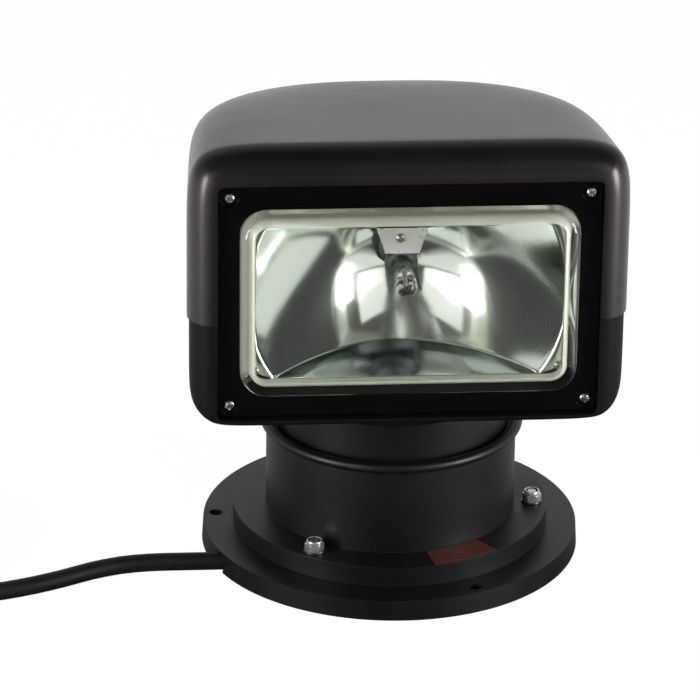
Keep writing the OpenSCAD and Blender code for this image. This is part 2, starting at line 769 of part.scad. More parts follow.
module bezel() color(gloss_black) {
    difference() {
        translate([0, 0, lamp_z]) sheet_y(bezel_y, bezel_back)
            round_rect(recess_x - panel_play, recess_z - panel_play, 4);
        translate([0, 0, lamp_z]) sheet_y(bezel_y - 1, bezel_back + 1)
            round_rect(lens_x + panel_play, lens_z + panel_play, 12 + panel_play);
        lamp_corners(screw_x, screw_z) {
            rod_y(1.7, bezel_y - 1, bezel_back + 1);
            rod_y(4.2, bezel_y - 1, bezel_y + 1.2);
        }
    }
}

module bezel_screws() color(steel) {
    lamp_corners(screw_x, screw_z) translate([0, bezel_y + 1.2, 0]) rotate([-90, 0, 0])
        pan_screw(1.5, 2.6, 1.9, bezel_t + gasket_t + lens_flange_t + 3);
}

// One ring of the lens: a rectangle with round corners in X and Z
lens_corner_steps = 6;
function lens_ring(x, z, r, y) = [
    for (q = [0 : 3], k = [0 : lens_corner_steps])
        let (a = 90 * q + 90 * k / lens_corner_steps, sx = q == 0 || q == 3 ? 1 : -1, sz = q < 2 ? 1 : -1)
        [sx * (x - r) + r * cos(a), y, lamp_z + sz * (z - r) + r * sin(a)]
];

module lens() color("#e6ead8", 0.5) {
    front = bezel_y - lens_out;
    edge = 5;
    hollow = glass_t;
    x = lens_x;
    z = lens_z;
    skin(concat(
        [lens_ring(x - hollow, z - hollow, 8, front + glass_t)],
        [lens_ring(x - hollow, z - hollow, 8, gasket_y)],
        [lens_ring(x + lens_flange, z + lens_flange, 14, gasket_y)],
        [lens_ring(x + lens_flange, z + lens_flange, 14, bezel_back)],
        [lens_ring(x, z, 12, bezel_back)],
        [for (a = [0 : 22.5 : 90])
            let (in = edge * (1 - cos(a))) lens_ring(x - in, z - in, 12 - in, front + edge * (1 - sin(a)))]
    ));
}

module lens_gasket() color(rubber) {
    translate([0, 0, lamp_z]) sheet_y(gasket_y, frame_y) difference() {
        round_rect(lens_x + lens_flange, lens_z + lens_flange, 14);
        round_rect(lens_x - glass_t + 1, lens_z - glass_t + 1, 8);
    }
}

// Half outline of a bowl of depth d with its vertex at the origin, opening along +Y of the sketch
bowl_steps = 18;
function bowl_curve(out) = [
    for (i = [0 : bowl_steps]) let (r = bowl_r * i / bowl_steps) [r + out * (i > 0 ? 0.8 : 0), r * r / (4 * focus) - out]
];
module bowl_solid(out, extra) {
    translate([0, vertex_y, lamp_z]) rotate([90, 0, 0]) rotate_extrude()
        polygon(concat(bowl_curve(out), [[bowl_r + out * 0.8, bowl_depth + extra], [0, bowl_depth + extra]]));
}

module reflector() color(chrome) {
    difference() {
        union() {
            translate([0, 0, lamp_z]) sheet_y(frame_y, frame_y + rim_t - 0.1) round_rect(lens_x + 2, lens_z + 2, 9.6);
            intersection() {
                bowl_solid(bowl_t, 0);
                translate([0, 0, lamp_z]) sheet_y(frame_y, vertex_y + 4)
                    square([2 * bowl_r + 8, 2 * (bowl_z + bowl_t)], center = true);
            }
        }
        intersection() {
            bowl_solid(0, 2);
            translate([0, 0, lamp_z]) sheet_y(frame_y - 3, vertex_y + 4)
                square([2 * bowl_r + 8, 2 * bowl_z], center = true);
        }
        translate([0, 0, lamp_z]) rod_y(bowl_hole, vertex_y - 10, vertex_y + 10);
        translate([0, 0, lamp_z + clip_r]) rod_y(1.25 + seat_play, vertex_y - 10, vertex_y + 10);
        lamp_corners(bowl_r - 4, bowl_z - 4) rod_y(1.2, frame_y - 1, frame_y + 4);
    }
}

module reflector_screws() color(steel) {
    lamp_corners(bowl_r - 4, bowl_z - 4) translate([0, frame_y, 0]) rotate([-90, 0, 0])
        pan_screw(1.1, 1.9, 1.2, frame_t - 2);
}

module bulb_capsule() color("#eef0ea", 0.6) {
    translate([0, 0, lamp_z]) {
        rod_y(bulb_r, bulb_tip_y + bulb_r, collar_y);
        intersection() {
            translate([0, bulb_tip_y + bulb_r, 0]) sphere(bulb_r);
            sheet_y(bulb_tip_y - 1, bulb_tip_y + bulb_r) square(4 * bulb_r, center = true);
        }
    }
}

module bulb_base() color(dark_steel) {
    translate([0, 0, lamp_z]) {
        rod_y(bowl_hole - 0.3, collar_y, boot_y - 3);
        rod_y(13, boot_y - 3, boot_y);
    }
    // Return conductor beside the capsule
    translate([bulb_r + 1.4, 0, lamp_z - 2]) rod_y(0.8, bulb_tip_y + 5, collar_y + 1);
    translate([bulb_r - 0.6, bulb_tip_y + 5.2, lamp_z - 2]) rod_x(0.8, 0.4, 2.8);
}

module bulb_clip() color(chrome) {
    low = bulb_r + 0.4;
    difference() {
        translate([0, 0, lamp_z]) sheet_y(collar_y - 1, collar_y) {
            translate([-5, low]) square([10, clip_r - low]);
            translate([0, clip_r]) circle(5);
        }
        translate([0, 0, lamp_z + clip_r]) rod_y(1.25 + seat_play, collar_y - 5, collar_y + 5);
    }
}

module bulb_clip_screw() color(steel) {
    translate([0, collar_y - 1, lamp_z + clip_r]) rotate([-90, 0, 0]) pan_screw(1.25, 2.4, 1.7, 9);
}

module lamp_socket() color("#d8d2c4") {
    translate([0, 0, lamp_z]) {
        rod_y(11, boot_y, socket_end);
        rod_y(7, socket_end - 0.1, socket_end + 2);
    }
}

module ballast() color("#8d9094") {
    translate([-45, tilt_y - 4, tray_z + tray_t]) {
        cube([90, 52, 20]);
        for (i = [0 : 8]) translate([2 + 10.5 * i, 0, 20]) cube([2, 52, 5]);
    }
}

module ballast_tray() color(dark_steel) {
    translate([-block_x - block_t, tilt_y - 8, tray_z]) cube([2 * (block_x + block_t), 60, tray_t]);
}

module tilt_shaft() color(steel) {
    translate([0, tilt_y, split_z]) rod_x(tilt_shaft_r, -block_x - block_t - 2, block_x + block_t + 2);
}

module shaft_spacers() color(brass) {
    both_sides() translate([0, tilt_y, split_z]) difference() {
        rod_x(tilt_shaft_r + 4, yoke_half + 0.3, block_x);
        rod_x(tilt_shaft_r + seat_play, yoke_half - 1, block_x + 1);
    }
}

module tilt_sector() color(steel) {
    translate([0, tilt_y, split_z]) difference() {
        union() {
            sheet_x(-gear_t / 2, gear_t / 2) sector_outline(sector_teeth, tilt_module, sector_low, sector_high);
            rod_x(tilt_shaft_r + 4, -gear_t / 2 - 5, gear_t / 2 + 5);
        }
        rod_x(tilt_shaft_r + seat_play, -20, 20);
    }
}

module block_screw_places() {
    for (sx = [-1, 1], y = [tilt_y - 18, tilt_y + 4]) translate([sx * (block_x + block_t + 6), y, 0]) children();
}

module pivot_blocks() color("#9a9da1") {
    floor_in = head_bottom + shell_wall + block_play;
    difference() {
        both_sides() {
            translate([0, tilt_y, 0]) sheet_x(block_x, block_x + block_t)
                polygon([[-24, floor_in], [8, floor_in], [12, split_z - 20], [12, tray_z], [-8, tray_z], [-12, split_z - 20]]);
            translate([block_x, tilt_y - 24, floor_in]) cube([block_t + 10, 32, 4]);
        }
        translate([0, tilt_y, split_z]) rod_x(tilt_shaft_r + seat_play, -block_x - block_t - 5, block_x + block_t + 5);
        block_screw_places() translate([0, 0, floor_in - 1]) cylinder(r = 2 + seat_play, h = 7);
    }
}

module block_screws() color(steel) {
    block_screw_places() translate([0, 0, head_bottom]) pan_screw(2, 3.5, 2, shell_wall + 4);
}

// Cord

cord_sides = 10;
function heading(i) = let (a = cord_route[max(0, i - 1)], b = cord_route[min(len(cord_route) - 1, i + 1)])
    (b - a) / norm(b - a);
module power_cord() color(rubber) {
    skin([for (i = [0 : len(cord_route) - 1]) let (h = heading(i), p = cord_route[i])
        [for (k = [0 : cord_sides - 1]) let (a = 360 * k / cord_sides)
            [p[0] - h[1] * cord_r * cos(a), p[1] + h[0] * cord_r * cos(a), cord_z + cord_r * sin(a)]]]);
}

module cord_coil() color(rubber) {
    translate([coil_at[0], coil_at[1], coil_z]) tube(coil_out, coil_in, 2 * cord_d);
}

module coil_tie() color("#2c2c2e") {
    reach = coil_out - coil_in;
    translate([coil_at[0] + coil_in, coil_at[1] + tie_w / 2, coil_z]) rotate([90, 0, 0]) linear_extrude(tie_w)
        difference() {
            translate([-tie_t - 0.9, -tie_t]) square([reach + 2 * tie_t + 1, 2 * cord_d + 2 * tie_t]);
            translate([-0.9, -0.05]) square([reach + 1, 2 * cord_d + 0.1]);
        }
}

// Pieces on the cord's far end lie along +Y beside the coil
module along_plug(from) {
    translate([plug_x, plug_y + from, plug_z]) rotate([-90, 0, 0]) children();
}

module cord_tail() color(rubber) {
    along_plug(0) cylinder(r = cord_r, h = tail);
}

module connector_boot() color(rubber) {
    along_plug(tail) cylinder(r1 = cord_r + 1, r2 = plug_r - 1, h = 20);
}

module connector_body() color(black_plastic) {
    along_plug(tail + 20) {
        difference() {
            cylinder(r = plug_r - 1.6, h = 24);
            translate([0, 0, 14]) cylinder(r = plug_r - 3, h = 12);
        }
        around(4, 2.6, 45) translate([0, 0, 13]) cylinder(r = 0.8, h = 10);
    }
}

module connector_ring() color("#3a3b3d") {
    along_plug(tail + 26) difference() {
        cylinder(r = plug_r, h = 13);
        translate([0, 0, -1]) cylinder(r = plug_r - 1.6 + run_play, h = 15);
        around(18, plug_r, 0) translate([0, 0, 1.5]) cylinder(r = 0.4, h = 10, $fn = 6);
    }
}

mounting_disc();
flange_seal();
base_housing();
flange_studs();
flange_washers();
flange_nuts();
seal_strip();
neck_seal();
cord_grommet();
supply_lead();
bearing_outer_rings();
bearing_balls();
pan_motor();
pan_motor_screws();
control_board();
board_relays();
board_posts();
pan_pinion();
turret_body();
pan_shaft();
pan_shaft_screws();
pan_gear();
bearing_inner_rings();
shaft_circlip();
wiring_loom();
yoke();
yoke_screws();
tilt_bushes();
tilt_motor();
tilt_motor_screws();
tilt_pinion();
lower_housing();
upper_cover();
cover_screws();
lamp_frame();
bezel();
bezel_screws();
lens();
lens_gasket();
reflector();
reflector_screws();
bulb_capsule();
bulb_base();
bulb_clip();
bulb_clip_screw();
lamp_socket();
ballast();
ballast_tray();
tilt_shaft();
shaft_spacers();
tilt_sector();
pivot_blocks();
block_screws();
power_cord();
cord_coil();
coil_tie();
cord_tail();
connector_boot();
connector_body();
connector_ring();
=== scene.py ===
"""Looks of a marine searchlight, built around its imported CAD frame.

Places are in the row frame: the origin is under the middle of the mounting disc, +Z is up, and the lamp
looks along -Y at rest. Sizes in the classes are millimetres, as in the part's source.
"""
import logging
import math
from dataclasses import dataclass, field
from enum import Enum
from typing import Optional, Sequence

import bmesh
import bpy
from mathutils import Matrix, Vector


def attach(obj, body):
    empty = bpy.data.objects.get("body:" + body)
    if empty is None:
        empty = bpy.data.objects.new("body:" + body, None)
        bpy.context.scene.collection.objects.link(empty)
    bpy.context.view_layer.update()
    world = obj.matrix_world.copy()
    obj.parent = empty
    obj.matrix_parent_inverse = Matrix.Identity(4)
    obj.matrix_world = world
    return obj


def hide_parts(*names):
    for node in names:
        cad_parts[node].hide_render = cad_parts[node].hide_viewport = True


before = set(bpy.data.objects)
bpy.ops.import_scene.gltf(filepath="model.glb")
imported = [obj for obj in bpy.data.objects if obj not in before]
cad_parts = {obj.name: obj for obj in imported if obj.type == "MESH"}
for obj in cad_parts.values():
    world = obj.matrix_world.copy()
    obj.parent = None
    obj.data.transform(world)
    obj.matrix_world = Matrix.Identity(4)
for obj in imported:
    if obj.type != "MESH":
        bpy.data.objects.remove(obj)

LOG = logging.getLogger("searchlight")
MM = 0.001
# Points of a mesh that lie within this many metres of each other become one
WELD = 1e-6
# Radius of the small face that closes a turned body on its axis
POLE = 0.05
# Edges of a CAD node that turn by more than this are rounded, and those that turn by less than the other go
SHARP_DEG = 35.0
FLAT_DEG = 0.4
# Values between which nearly all of a noise texture lies
NOISE_SPAN = (0.3, 0.7)
# Scale of a wave texture at which a rib is one unit wide
RIB_SCALE = 0.157
Pair = tuple[float, float]
Point = tuple[float, float, float]
Ring = list[Point]


class Body(str, Enum):
    """The rigid bodies of the frame."""

    BASE = "base"
    TURRET = "turret"
    HEAD = "head"


# Numbers


def clamp(value: float) -> float:
    """Return a value held between 0 and 1."""
    return min(1.0, max(0.0, value))


def part_way(value: float, low: float, high: float) -> float:
    """Return how far a value lies from one number to another, from 0 to 1."""
    return clamp((value - low) / (high - low))


def ease(value: float, low: float, high: float) -> float:
    """Return how far a value lies from one number to another, with a soft start and end."""
    t = part_way(value, low, high)
    return t * t * (3 - 2 * t)


def circle(count: int) -> list[Pair]:
    """Return the cosine and sine of a circle's equal turns."""
    turns = [2 * math.pi * i / count for i in range(count)]
    return [(math.cos(a), math.sin(a)) for a in turns]


# Colour, nodes and finishes


def linear(colour: str) -> tuple[float, float, float, float]:
    """Turn an sRGB hex colour into linear light.

    Args:
        colour: the colour as "#rrggbb".

    Returns:
        Red, green, blue and an alpha of 1.
    """
    parts = [int(colour[i:i + 2], 16) / 255 for i in (1, 3, 5)]
    low = [p / 12.92 if p <= 0.04045 else ((p + 0.055) / 1.055) ** 2.4 for p in parts]
    return (low[0], low[1], low[2], 1.0)


def add_node(tree: bpy.types.NodeTree, kind: str, settings: Optional[dict] = None,
             links: Optional[dict] = None) -> bpy.types.Node:
    """Add one node with its settings and its incoming links.

    Args:
        tree: the node tree.
        kind: Blender's name of the node's type.
        settings: values by property name, or by input name or number.
        links: output sockets by input name or number.

    Returns:
        The new node.
    """
    node = tree.nodes.new(kind)
    for key, value in (settings or {}).items():
        if isinstance(key, str) and hasattr(node, key):
            setattr(node, key, value)
        else:
            node.inputs[key].default_value = value
    for key, socket in (links or {}).items():
        tree.links.new(socket, node.inputs[key])
    return node


@dataclass(frozen=True)
class Finish:
    """A surface finish: a material, and what its making left on the surface.

    Colours are sRGB. The drift is slow change of colour and gloss over the piece, and the grain is the
    relief of the mould, the paint or the tool.
    """

    name: str
    colour: str
    drift_colour: str
    roughness: Pair
    grain_mm: float
    grain_depth_mm: float
    metallic: float = 0.0
    ior: float = 1.5
    drift_mm: float = 40.0
    stretch: Point = (1.0, 1.0, 1.0)
    transmission: float = 0.0
    specular: float = 0.5
    # Tint of the specular reflection; a tint other than white is painted reflection colour
    sheen: str = "#ffffff"

    def material(self) -> bpy.types.Material:
        """Make the finish's material on first use.

        Returns:
            The material.
        """
        made = bpy.data.materials.get(self.name)
        if made:
            return made
        mat = bpy.data.materials.new(self.name)
        mat.use_nodes = True
        tree = mat.node_tree
        tree.nodes.clear()
        place = add_node(tree, "ShaderNodeTexCoord").outputs["Object"]
        drift = add_node(tree, "ShaderNodeTexNoise", {"Scale": 1 / (self.drift_mm * MM), "Detail": 3.0},
                         {"Vector": place}).outputs["Fac"]
        colours = {"data_type": "RGBA", 6: linear(self.colour), 7: linear(self.drift_colour)}
        tint = add_node(tree, "ShaderNodeMix", colours, {0: drift})
        span = {"From Min": NOISE_SPAN[0], "From Max": NOISE_SPAN[1],
                "To Min": self.roughness[0], "To Max": self.roughness[1]}
        gloss = add_node(tree, "ShaderNodeMapRange", span, {"Value": drift})
        shader = add_node(tree, "ShaderNodeBsdfPrincipled",
                          {"Metallic": self.metallic, "IOR": self.ior,
                           "Transmission Weight": self.transmission,
                           "Specular IOR Level": self.specular, "Specular Tint": linear(self.sheen)},
                          {"Base Color": tint.outputs[2], "Roughness": gloss.outputs[0],
                           "Normal": self.relief(tree, place)})
        add_node(tree, "ShaderNodeOutputMaterial", {}, {"Surface": shader.outputs[0]})
        return mat

    def relief(self, tree: bpy.types.NodeTree, place: bpy.types.NodeSocket) -> bpy.types.NodeSocket:
        """Add the grain's bump.

        Args:
            tree: the material's nodes.
            place: coordinates in metres.

        Returns:
            The bumped normal.
        """
        run = add_node(tree, "ShaderNodeMapping", {"Scale": self.stretch}, {"Vector": place}).outputs[0]
        grain = add_node(tree, "ShaderNodeTexNoise", {"Scale": 1 / (self.grain_mm * MM), "Detail": 2.0},
                         {"Vector": run}).outputs["Fac"]
        return add_node(tree, "ShaderNodeBump", {"Strength": 1.0, "Distance": self.grain_depth_mm * MM},
                        {"Height": grain}).outputs[0]


@dataclass(frozen=True)
class WovenTape(Finish):
    """Narrow nylon tape: two crossing sets of threads stand up as ribs."""

    def relief(self, tree: bpy.types.NodeTree, place: bpy.types.NodeSocket) -> bpy.types.NodeSocket:
        """Add the ribs of warp and weft, a thread's width apart.

        Args:
            tree: the material's nodes.
            place: coordinates in metres.

        Returns:
            The bumped normal.
        """
        total = None
        for axis in ("X", "Y"):
            wave = add_node(tree, "ShaderNodeTexWave",
                            {"bands_direction": axis, "Scale": RIB_SCALE / (self.grain_mm * MM)},
                            {"Vector": place}).outputs["Fac"]
            total = wave if total is None else add_node(
                tree, "ShaderNodeMath", {"operation": "MULTIPLY"}, {0: total, 1: wave}).outputs[0]
        return add_node(tree, "ShaderNodeBump", {"Strength": 1.0, "Distance": self.grain_depth_mm * MM},
                        {"Height": total}).outputs[0]


# Glass-filled nylon from a spark-eroded tool: a fine even matt that lights up softly where it leans away
# The faint pink tint of its reflections is painted reflection colour
SHELL_NYLON = Finish(
    "moulded_nylon_black", "#0f0d0e", "#141213", (0.28, 0.34), 0.7, 0.012, drift_mm=60, sheen="#fff5f8")
# The same nylon with a coarser texture on the lower housing; its darker colour and low specular are painted
# shade
SHADED_TEXTURED_NYLON = Finish(
    "textured_nylon_painted_shade", "#0c0b0b", "#100e0f", (0.5, 0.6), 0.9, 0.03, drift_mm=50, specular=0.1)
# Powder coat over an aluminium casting: a slightly wavy satin skin; the grain is drawn coarse to show
POWDER_COAT = Finish(
    "powder_coat_black", "#080808", "#0c0c0c", (0.38, 0.48), 1.1, 0.02, drift_mm=35, specular=0.4)
# ABS from a polished tool: nearly a black mirror, with a faint ripple of the flow
GLOSS_ABS = Finish(
    "polished_abs_black", "#040404", "#060606", (0.08, 0.14), 9.0, 0.004, drift_mm=25, specular=0.3)
# Pressed borosilicate glass: clear, faintly yellow-green where it is thick, slightly wavy from the mould
PRESSED_GLASS = Finish(
    "pressed_glass", "#fcfdf9", "#fafbf5", (0.0, 0.012), 22.0, 0.01, ior=1.47, transmission=1.0, drift_mm=30)
# Inside wall of the pressed lens, drawn milky: the pale band it makes round the glass is painted light
PAINTED_LIGHT_GLASS = Finish(
    "milky_wall_painted_light", "#e6e8da", "#dcdfcf", (0.18, 0.26), 2.0, 0.006, ior=1.47, transmission=0.6,
    drift_mm=16)
# Fused quartz of the bulb: clear, drawn in the flame
QUARTZ = Finish(
    "fused_quartz", "#f4f5f3", "#eceeec", (0.0, 0.02), 3.0, 0.01, ior=1.46, transmission=1.0, drift_mm=6)
# Aluminium evaporated on a lacquered bowl: a mirror with a slight unevenness of the lacquer
MIRROR_COAT = Finish(
    "evaporated_mirror", "#e9ecea", "#dfe4e2", (0.07, 0.11), 26.0, 0.03, metallic=1.0, drift_mm=30)
# Stainless steel, cold headed and tumbled: bright with fine scratches
STAINLESS = Finish(
    "tumbled_stainless", "#c9ccce", "#aeb2b5", (0.16, 0.3), 0.5, 0.01, metallic=1.0, drift_mm=2.5)
# Zinc plate on pressed steel: grey and a little cloudy
ZINC_STEEL = Finish(
    "zinc_plated_steel", "#84888c", "#6d7276", (0.28, 0.42), 1.2, 0.01, metallic=1.0, drift_mm=12)
# Bright zinc of the lock nuts: nearly white, and it glints from any side
BRIGHT_ZINC = Finish(
    "bright_zinc_plate", "#eceeef", "#dcdfe1", (0.14, 0.24), 0.6, 0.01, metallic=0.85, drift_mm=3)
# Bearing and gear steel, ground along the turning direction
GROUND_STEEL = Finish(
    "ground_steel", "#b4b8bc", "#9fa4a8", (0.18, 0.3), 0.8, 0.008, metallic=1.0, drift_mm=10,
    stretch=(1.0, 1.0, 6.0))
# Die-cast aluminium as it leaves the die: pale and dull
DIE_CAST = Finish(
    "die_cast_aluminium", "#b3b6b8", "#9da1a4", (0.4, 0.55), 0.9, 0.03, metallic=1.0, drift_mm=15)
# Free-cutting brass, turned: warm and bright
TURNED_BRASS = Finish(
    "turned_brass", "#c8a55c", "#b48f48", (0.2, 0.32), 0.5, 0.01, metallic=1.0, drift_mm=6)
# Tinned spring steel of the bulb's clip: pale and satin
TINNED_STEEL = Finish(
    "tinned_spring_steel", "#d5d7d6", "#c2c5c4", (0.26, 0.36), 0.8, 0.01, metallic=0.6, drift_mm=8)
# Tungsten of the bulb's burner, drawn bright
TUNGSTEN = Finish(
    "drawn_tungsten", "#bcbcb8", "#a6a6a2", (0.24, 0.36), 0.4, 0.01, metallic=0.9, drift_mm=2)
# Neoprene sheath and seals: dull, slightly dusty
NEOPRENE = Finish(
    "neoprene_black", "#0c0c0c", "#131313", (0.5, 0.62), 0.9, 0.03, drift_mm=14, specular=0.25)
# Polyester film of the strip on the flange: dull red-brown with a little gloss
FILM_STRIP = Finish(
    "polyester_film_brown", "#5a2a22", "#43201b", (0.3, 0.4), 1.5, 0.006, drift_mm=9)
# Epoxy laminate of the control board: green with a resin gloss
LAMINATE = Finish(
    "epoxy_laminate_green", "#1f5a35", "#194a2b", (0.3, 0.4), 0.6, 0.01, drift_mm=8)
# Moulded cases of relays, plug and nut inserts: dark grey and satin
CASE_PLASTIC = Finish(
    "moulded_case_dark", "#26282c", "#2f3135", (0.4, 0.5), 0.6, 0.015, drift_mm=10)
# Steatite of the lamp holder: pale, fired, unglazed
STEATITE = Finish(
    "fired_steatite", "#d8d2c4", "#cbc4b4", (0.5, 0.62), 0.8, 0.02, drift_mm=9)
# Hook-and-loop tape of the tie; its threads are drawn a millimetre apart so that they show
TIE_TAPE = WovenTape(
    "woven_nylon_tape", "#26262a", "#303034", (0.7, 0.85), 1.0, 0.12, drift_mm=5)

NODE_FINISH: dict[Finish, list[str]] = {
    GROUND_STEEL: ["bearing_outer_rings", "bearing_inner_rings", "bearing_balls", "pan_shaft", "pan_gear",
                   "tilt_shaft", "tilt_sector"],
    STAINLESS: ["pan_motor_screws", "pan_shaft_screws", "yoke_screws", "tilt_motor_screws", "cover_screws"],
    ZINC_STEEL: ["pan_motor", "tilt_motor", "yoke", "ballast_tray", "shaft_circlip"],
    DIE_CAST: ["pivot_blocks", "ballast"],
    TURNED_BRASS: ["pan_pinion", "tilt_pinion", "tilt_bushes", "shaft_spacers", "board_posts"],
    NEOPRENE: ["flange_seal", "neck_seal", "cord_grommet", "supply_lead", "wiring_loom", "lens_gasket"],
    SHELL_NYLON: ["lamp_frame"],
    FILM_STRIP: ["seal_strip"],
    LAMINATE: ["control_board"],
    CASE_PLASTIC: ["board_relays", "connector_ring"],
    STEATITE: ["lamp_socket"],
}

# Meshes


def loft(bm: bmesh.types.BMesh, rings: Sequence[Ring], closed: bool = True,
         capped: bool = False) -> list[list[bmesh.types.BMVert]]:
    """Skin rings of equal point counts.

    Args:
        bm: the mesh that the skin is added to.
        rings: points in millimetres.
        closed: whether each ring joins its own ends.
        capped: whether the first and the last ring get a face.

    Returns:
        The new vertices, ring by ring.
    """
    rows = [[bm.verts.new((p[0] * MM, p[1] * MM, p[2] * MM)) for p in ring] for ring in rings]
    count = len(rows[0])
    for low, high in zip(rows, rows[1:]):
        for i in range(count if closed else count - 1):
            k = (i + 1) % count
            bm.faces.new((low[i], low[k], high[k], high[i]))
    if capped:
        bm.faces.new(list(reversed(rows[0])))
        bm.faces.new(rows[-1])
    return rows


def lathe(profile: Sequence[Pair], place: Matrix, bm: bmesh.types.BMesh, steps: int = 48) -> None:
    """Turn a profile about its own Z axis into a closed body.

    Args:
        profile: radius and height in millimetres, from one end to the other; the ends are capped.
        place: where the axis stands, in millimetres.
        bm: the mesh that the body is added to.
        steps: points round the axis.
    """
    rings = [[tuple(place @ Vector((r * c, r * s, h))) for c, s in circle(steps)] for r, h in profile]
    loft(bm, rings, capped=True)


def round_edges(bm: bmesh.types.BMesh, radius_mm: float, angle_deg: float, segments: int = 3) -> None:
    """Bevel every edge that turns by more than an angle.

    Args:
        bm: the mesh.
        radius_mm: width of the bevel.
        angle_deg: the least turn.
        segments: steps round the bevel.
    """
    least = math.radians(angle_deg)
    sharp = [e for e in bm.edges if len(e.link_faces) == 2 and e.calc_face_angle(0) > least]
    bmesh.ops.bevel(bm, geom=sharp, offset=radius_mm * MM, offset_type="OFFSET", segments=segments,
                    profile=0.5, affect="EDGES", clamp_overlap=True)


def put(name: str, data: Optional[bpy.types.ID]) -> bpy.types.Object:
    """Make an object and put it in the scene.

    Args:
        name: the object's name.
        data: its mesh, curve, lamp or camera.

    Returns:
        The object.
    """
    obj = bpy.data.objects.new(name, data)
    bpy.context.scene.collection.objects.link(obj)
    return obj


def new_piece(name: str, bm: bmesh.types.BMesh, body: Body, finish: Finish,
              stands_for: Sequence[str] = (), weighted: bool = True,
              sharp_deg: Optional[float] = None) -> bpy.types.Object:
    """Make an object of a mesh, put it on its body, and hide the CAD nodes that it replaces.

    Args:
        name: the piece's name.
        bm: its mesh, which is freed.
        body: the body that it rides on.
        finish: its finish.
        stands_for: CAD nodes that it replaces.
        weighted: whether large flat faces keep their own normal.
        sharp_deg: the turn from which an edge is drawn sharp, or None where none is.

    Returns:
        The object.
    """
    bmesh.ops.recalc_face_normals(bm, faces=bm.faces)
    for face in bm.faces:
        face.smooth = True
    mesh = bpy.data.meshes.new(name)
    bm.to_mesh(mesh)
    bm.free()
    mesh.materials.append(finish.material())
    if sharp_deg is not None:
        mesh.set_sharp_from_angle(angle=math.radians(sharp_deg))
    obj = put(name, mesh)
    if weighted:
        even = obj.modifiers.new("even_normals", "WEIGHTED_NORMAL")
        even.weight = 100
    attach(obj, body.value)
    if stands_for:
        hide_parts(*stands_for)
    LOG.info("piece %s on %s, %d faces", name, body.value, len(mesh.polygons))
    return obj


def node_mesh(node: str) -> bmesh.types.BMesh:
    """Copy a CAD node's mesh with its double points joined.

    Args:
        node: the CAD node.

    Returns:
        The copy.
    """
    bm = bmesh.new()
    bm.from_mesh(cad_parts[node].data)
    bmesh.ops.remove_doubles(bm, verts=bm.verts, dist=WELD)
    return bm


def carry(node: str, name: str, radius_mm: float, body: Body, finish: Finish) -> bpy.types.Object:
    """Make a piece of a CAD node with its sharp edges rounded.

    Args:
        node: the CAD node that the piece replaces.
        name: the piece's name.
        radius_mm: width of the rounding.
        body: the body that it rides on.
        finish: its finish.

    Returns:
        The object.
    """
    bm = node_mesh(node)
    bmesh.ops.dissolve_limit(bm, angle_limit=math.radians(FLAT_DEG), verts=bm.verts, edges=bm.edges)
    round_edges(bm, radius_mm, SHARP_DEG)
    return new_piece(name, bm, body, finish, [node])


def cut(obj: bpy.types.Object, low: Point, high: Point) -> None:
    """Cut a box out of a piece.

    Args:
        obj: the piece.
        low: the box's lowest corner, in millimetres.
        high: its highest corner.
    """
    bm = bmesh.new()
    bmesh.ops.create_cube(bm, size=1)
    middle = [(a + b) / 2 * MM for a, b in zip(low, high)]
    size = [(b - a) * MM for a, b in zip(low, high)]
    for v in bm.verts:
        v.co = Vector([m + c * s for m, c, s in zip(middle, v.co, size)])
    mesh = bpy.data.meshes.new("cutter")
    bm.to_mesh(mesh)
    bm.free()
    tool = put("cutter", mesh)
    step = obj.modifiers.new("cut", "BOOLEAN")
    step.operation = "DIFFERENCE"
    step.solver = "EXACT"
    step.object = tool
    obj.modifiers.move(len(obj.modifiers) - 1, 0)
    bpy.context.view_layer.update()
    shown = obj.evaluated_get(bpy.context.evaluated_depsgraph_get())
    fresh = bpy.data.meshes.new_from_object(shown)
    obj.modifiers.remove(step)
    old = obj.data
    obj.data = fresh
    fresh.name = obj.name
    bpy.data.meshes.remove(old)
    bpy.data.objects.remove(tool)


# Studio


@dataclass(frozen=True)
class Softbox:
    """One area lamp, with its places and size in metres."""

    name: str
    place: Point
    size: Pair
    power: float
    aim: Point = (0.0, 0.0, 0.16)

    def build(self) -> None:
        """Hang the lamp and turn it to its aim."""
        data = bpy.data.lights.new(self.name, "AREA")
        data.shape = "RECTANGLE"
        data.size, data.size_y = self.size
        data.energy = self.power
        lamp = put(self.name, data)
        lamp.location = self.place
        lamp.rotation_euler = (Vector(self.aim) - Vector(self.place)).to_track_quat("-Z", "Y").to_euler()


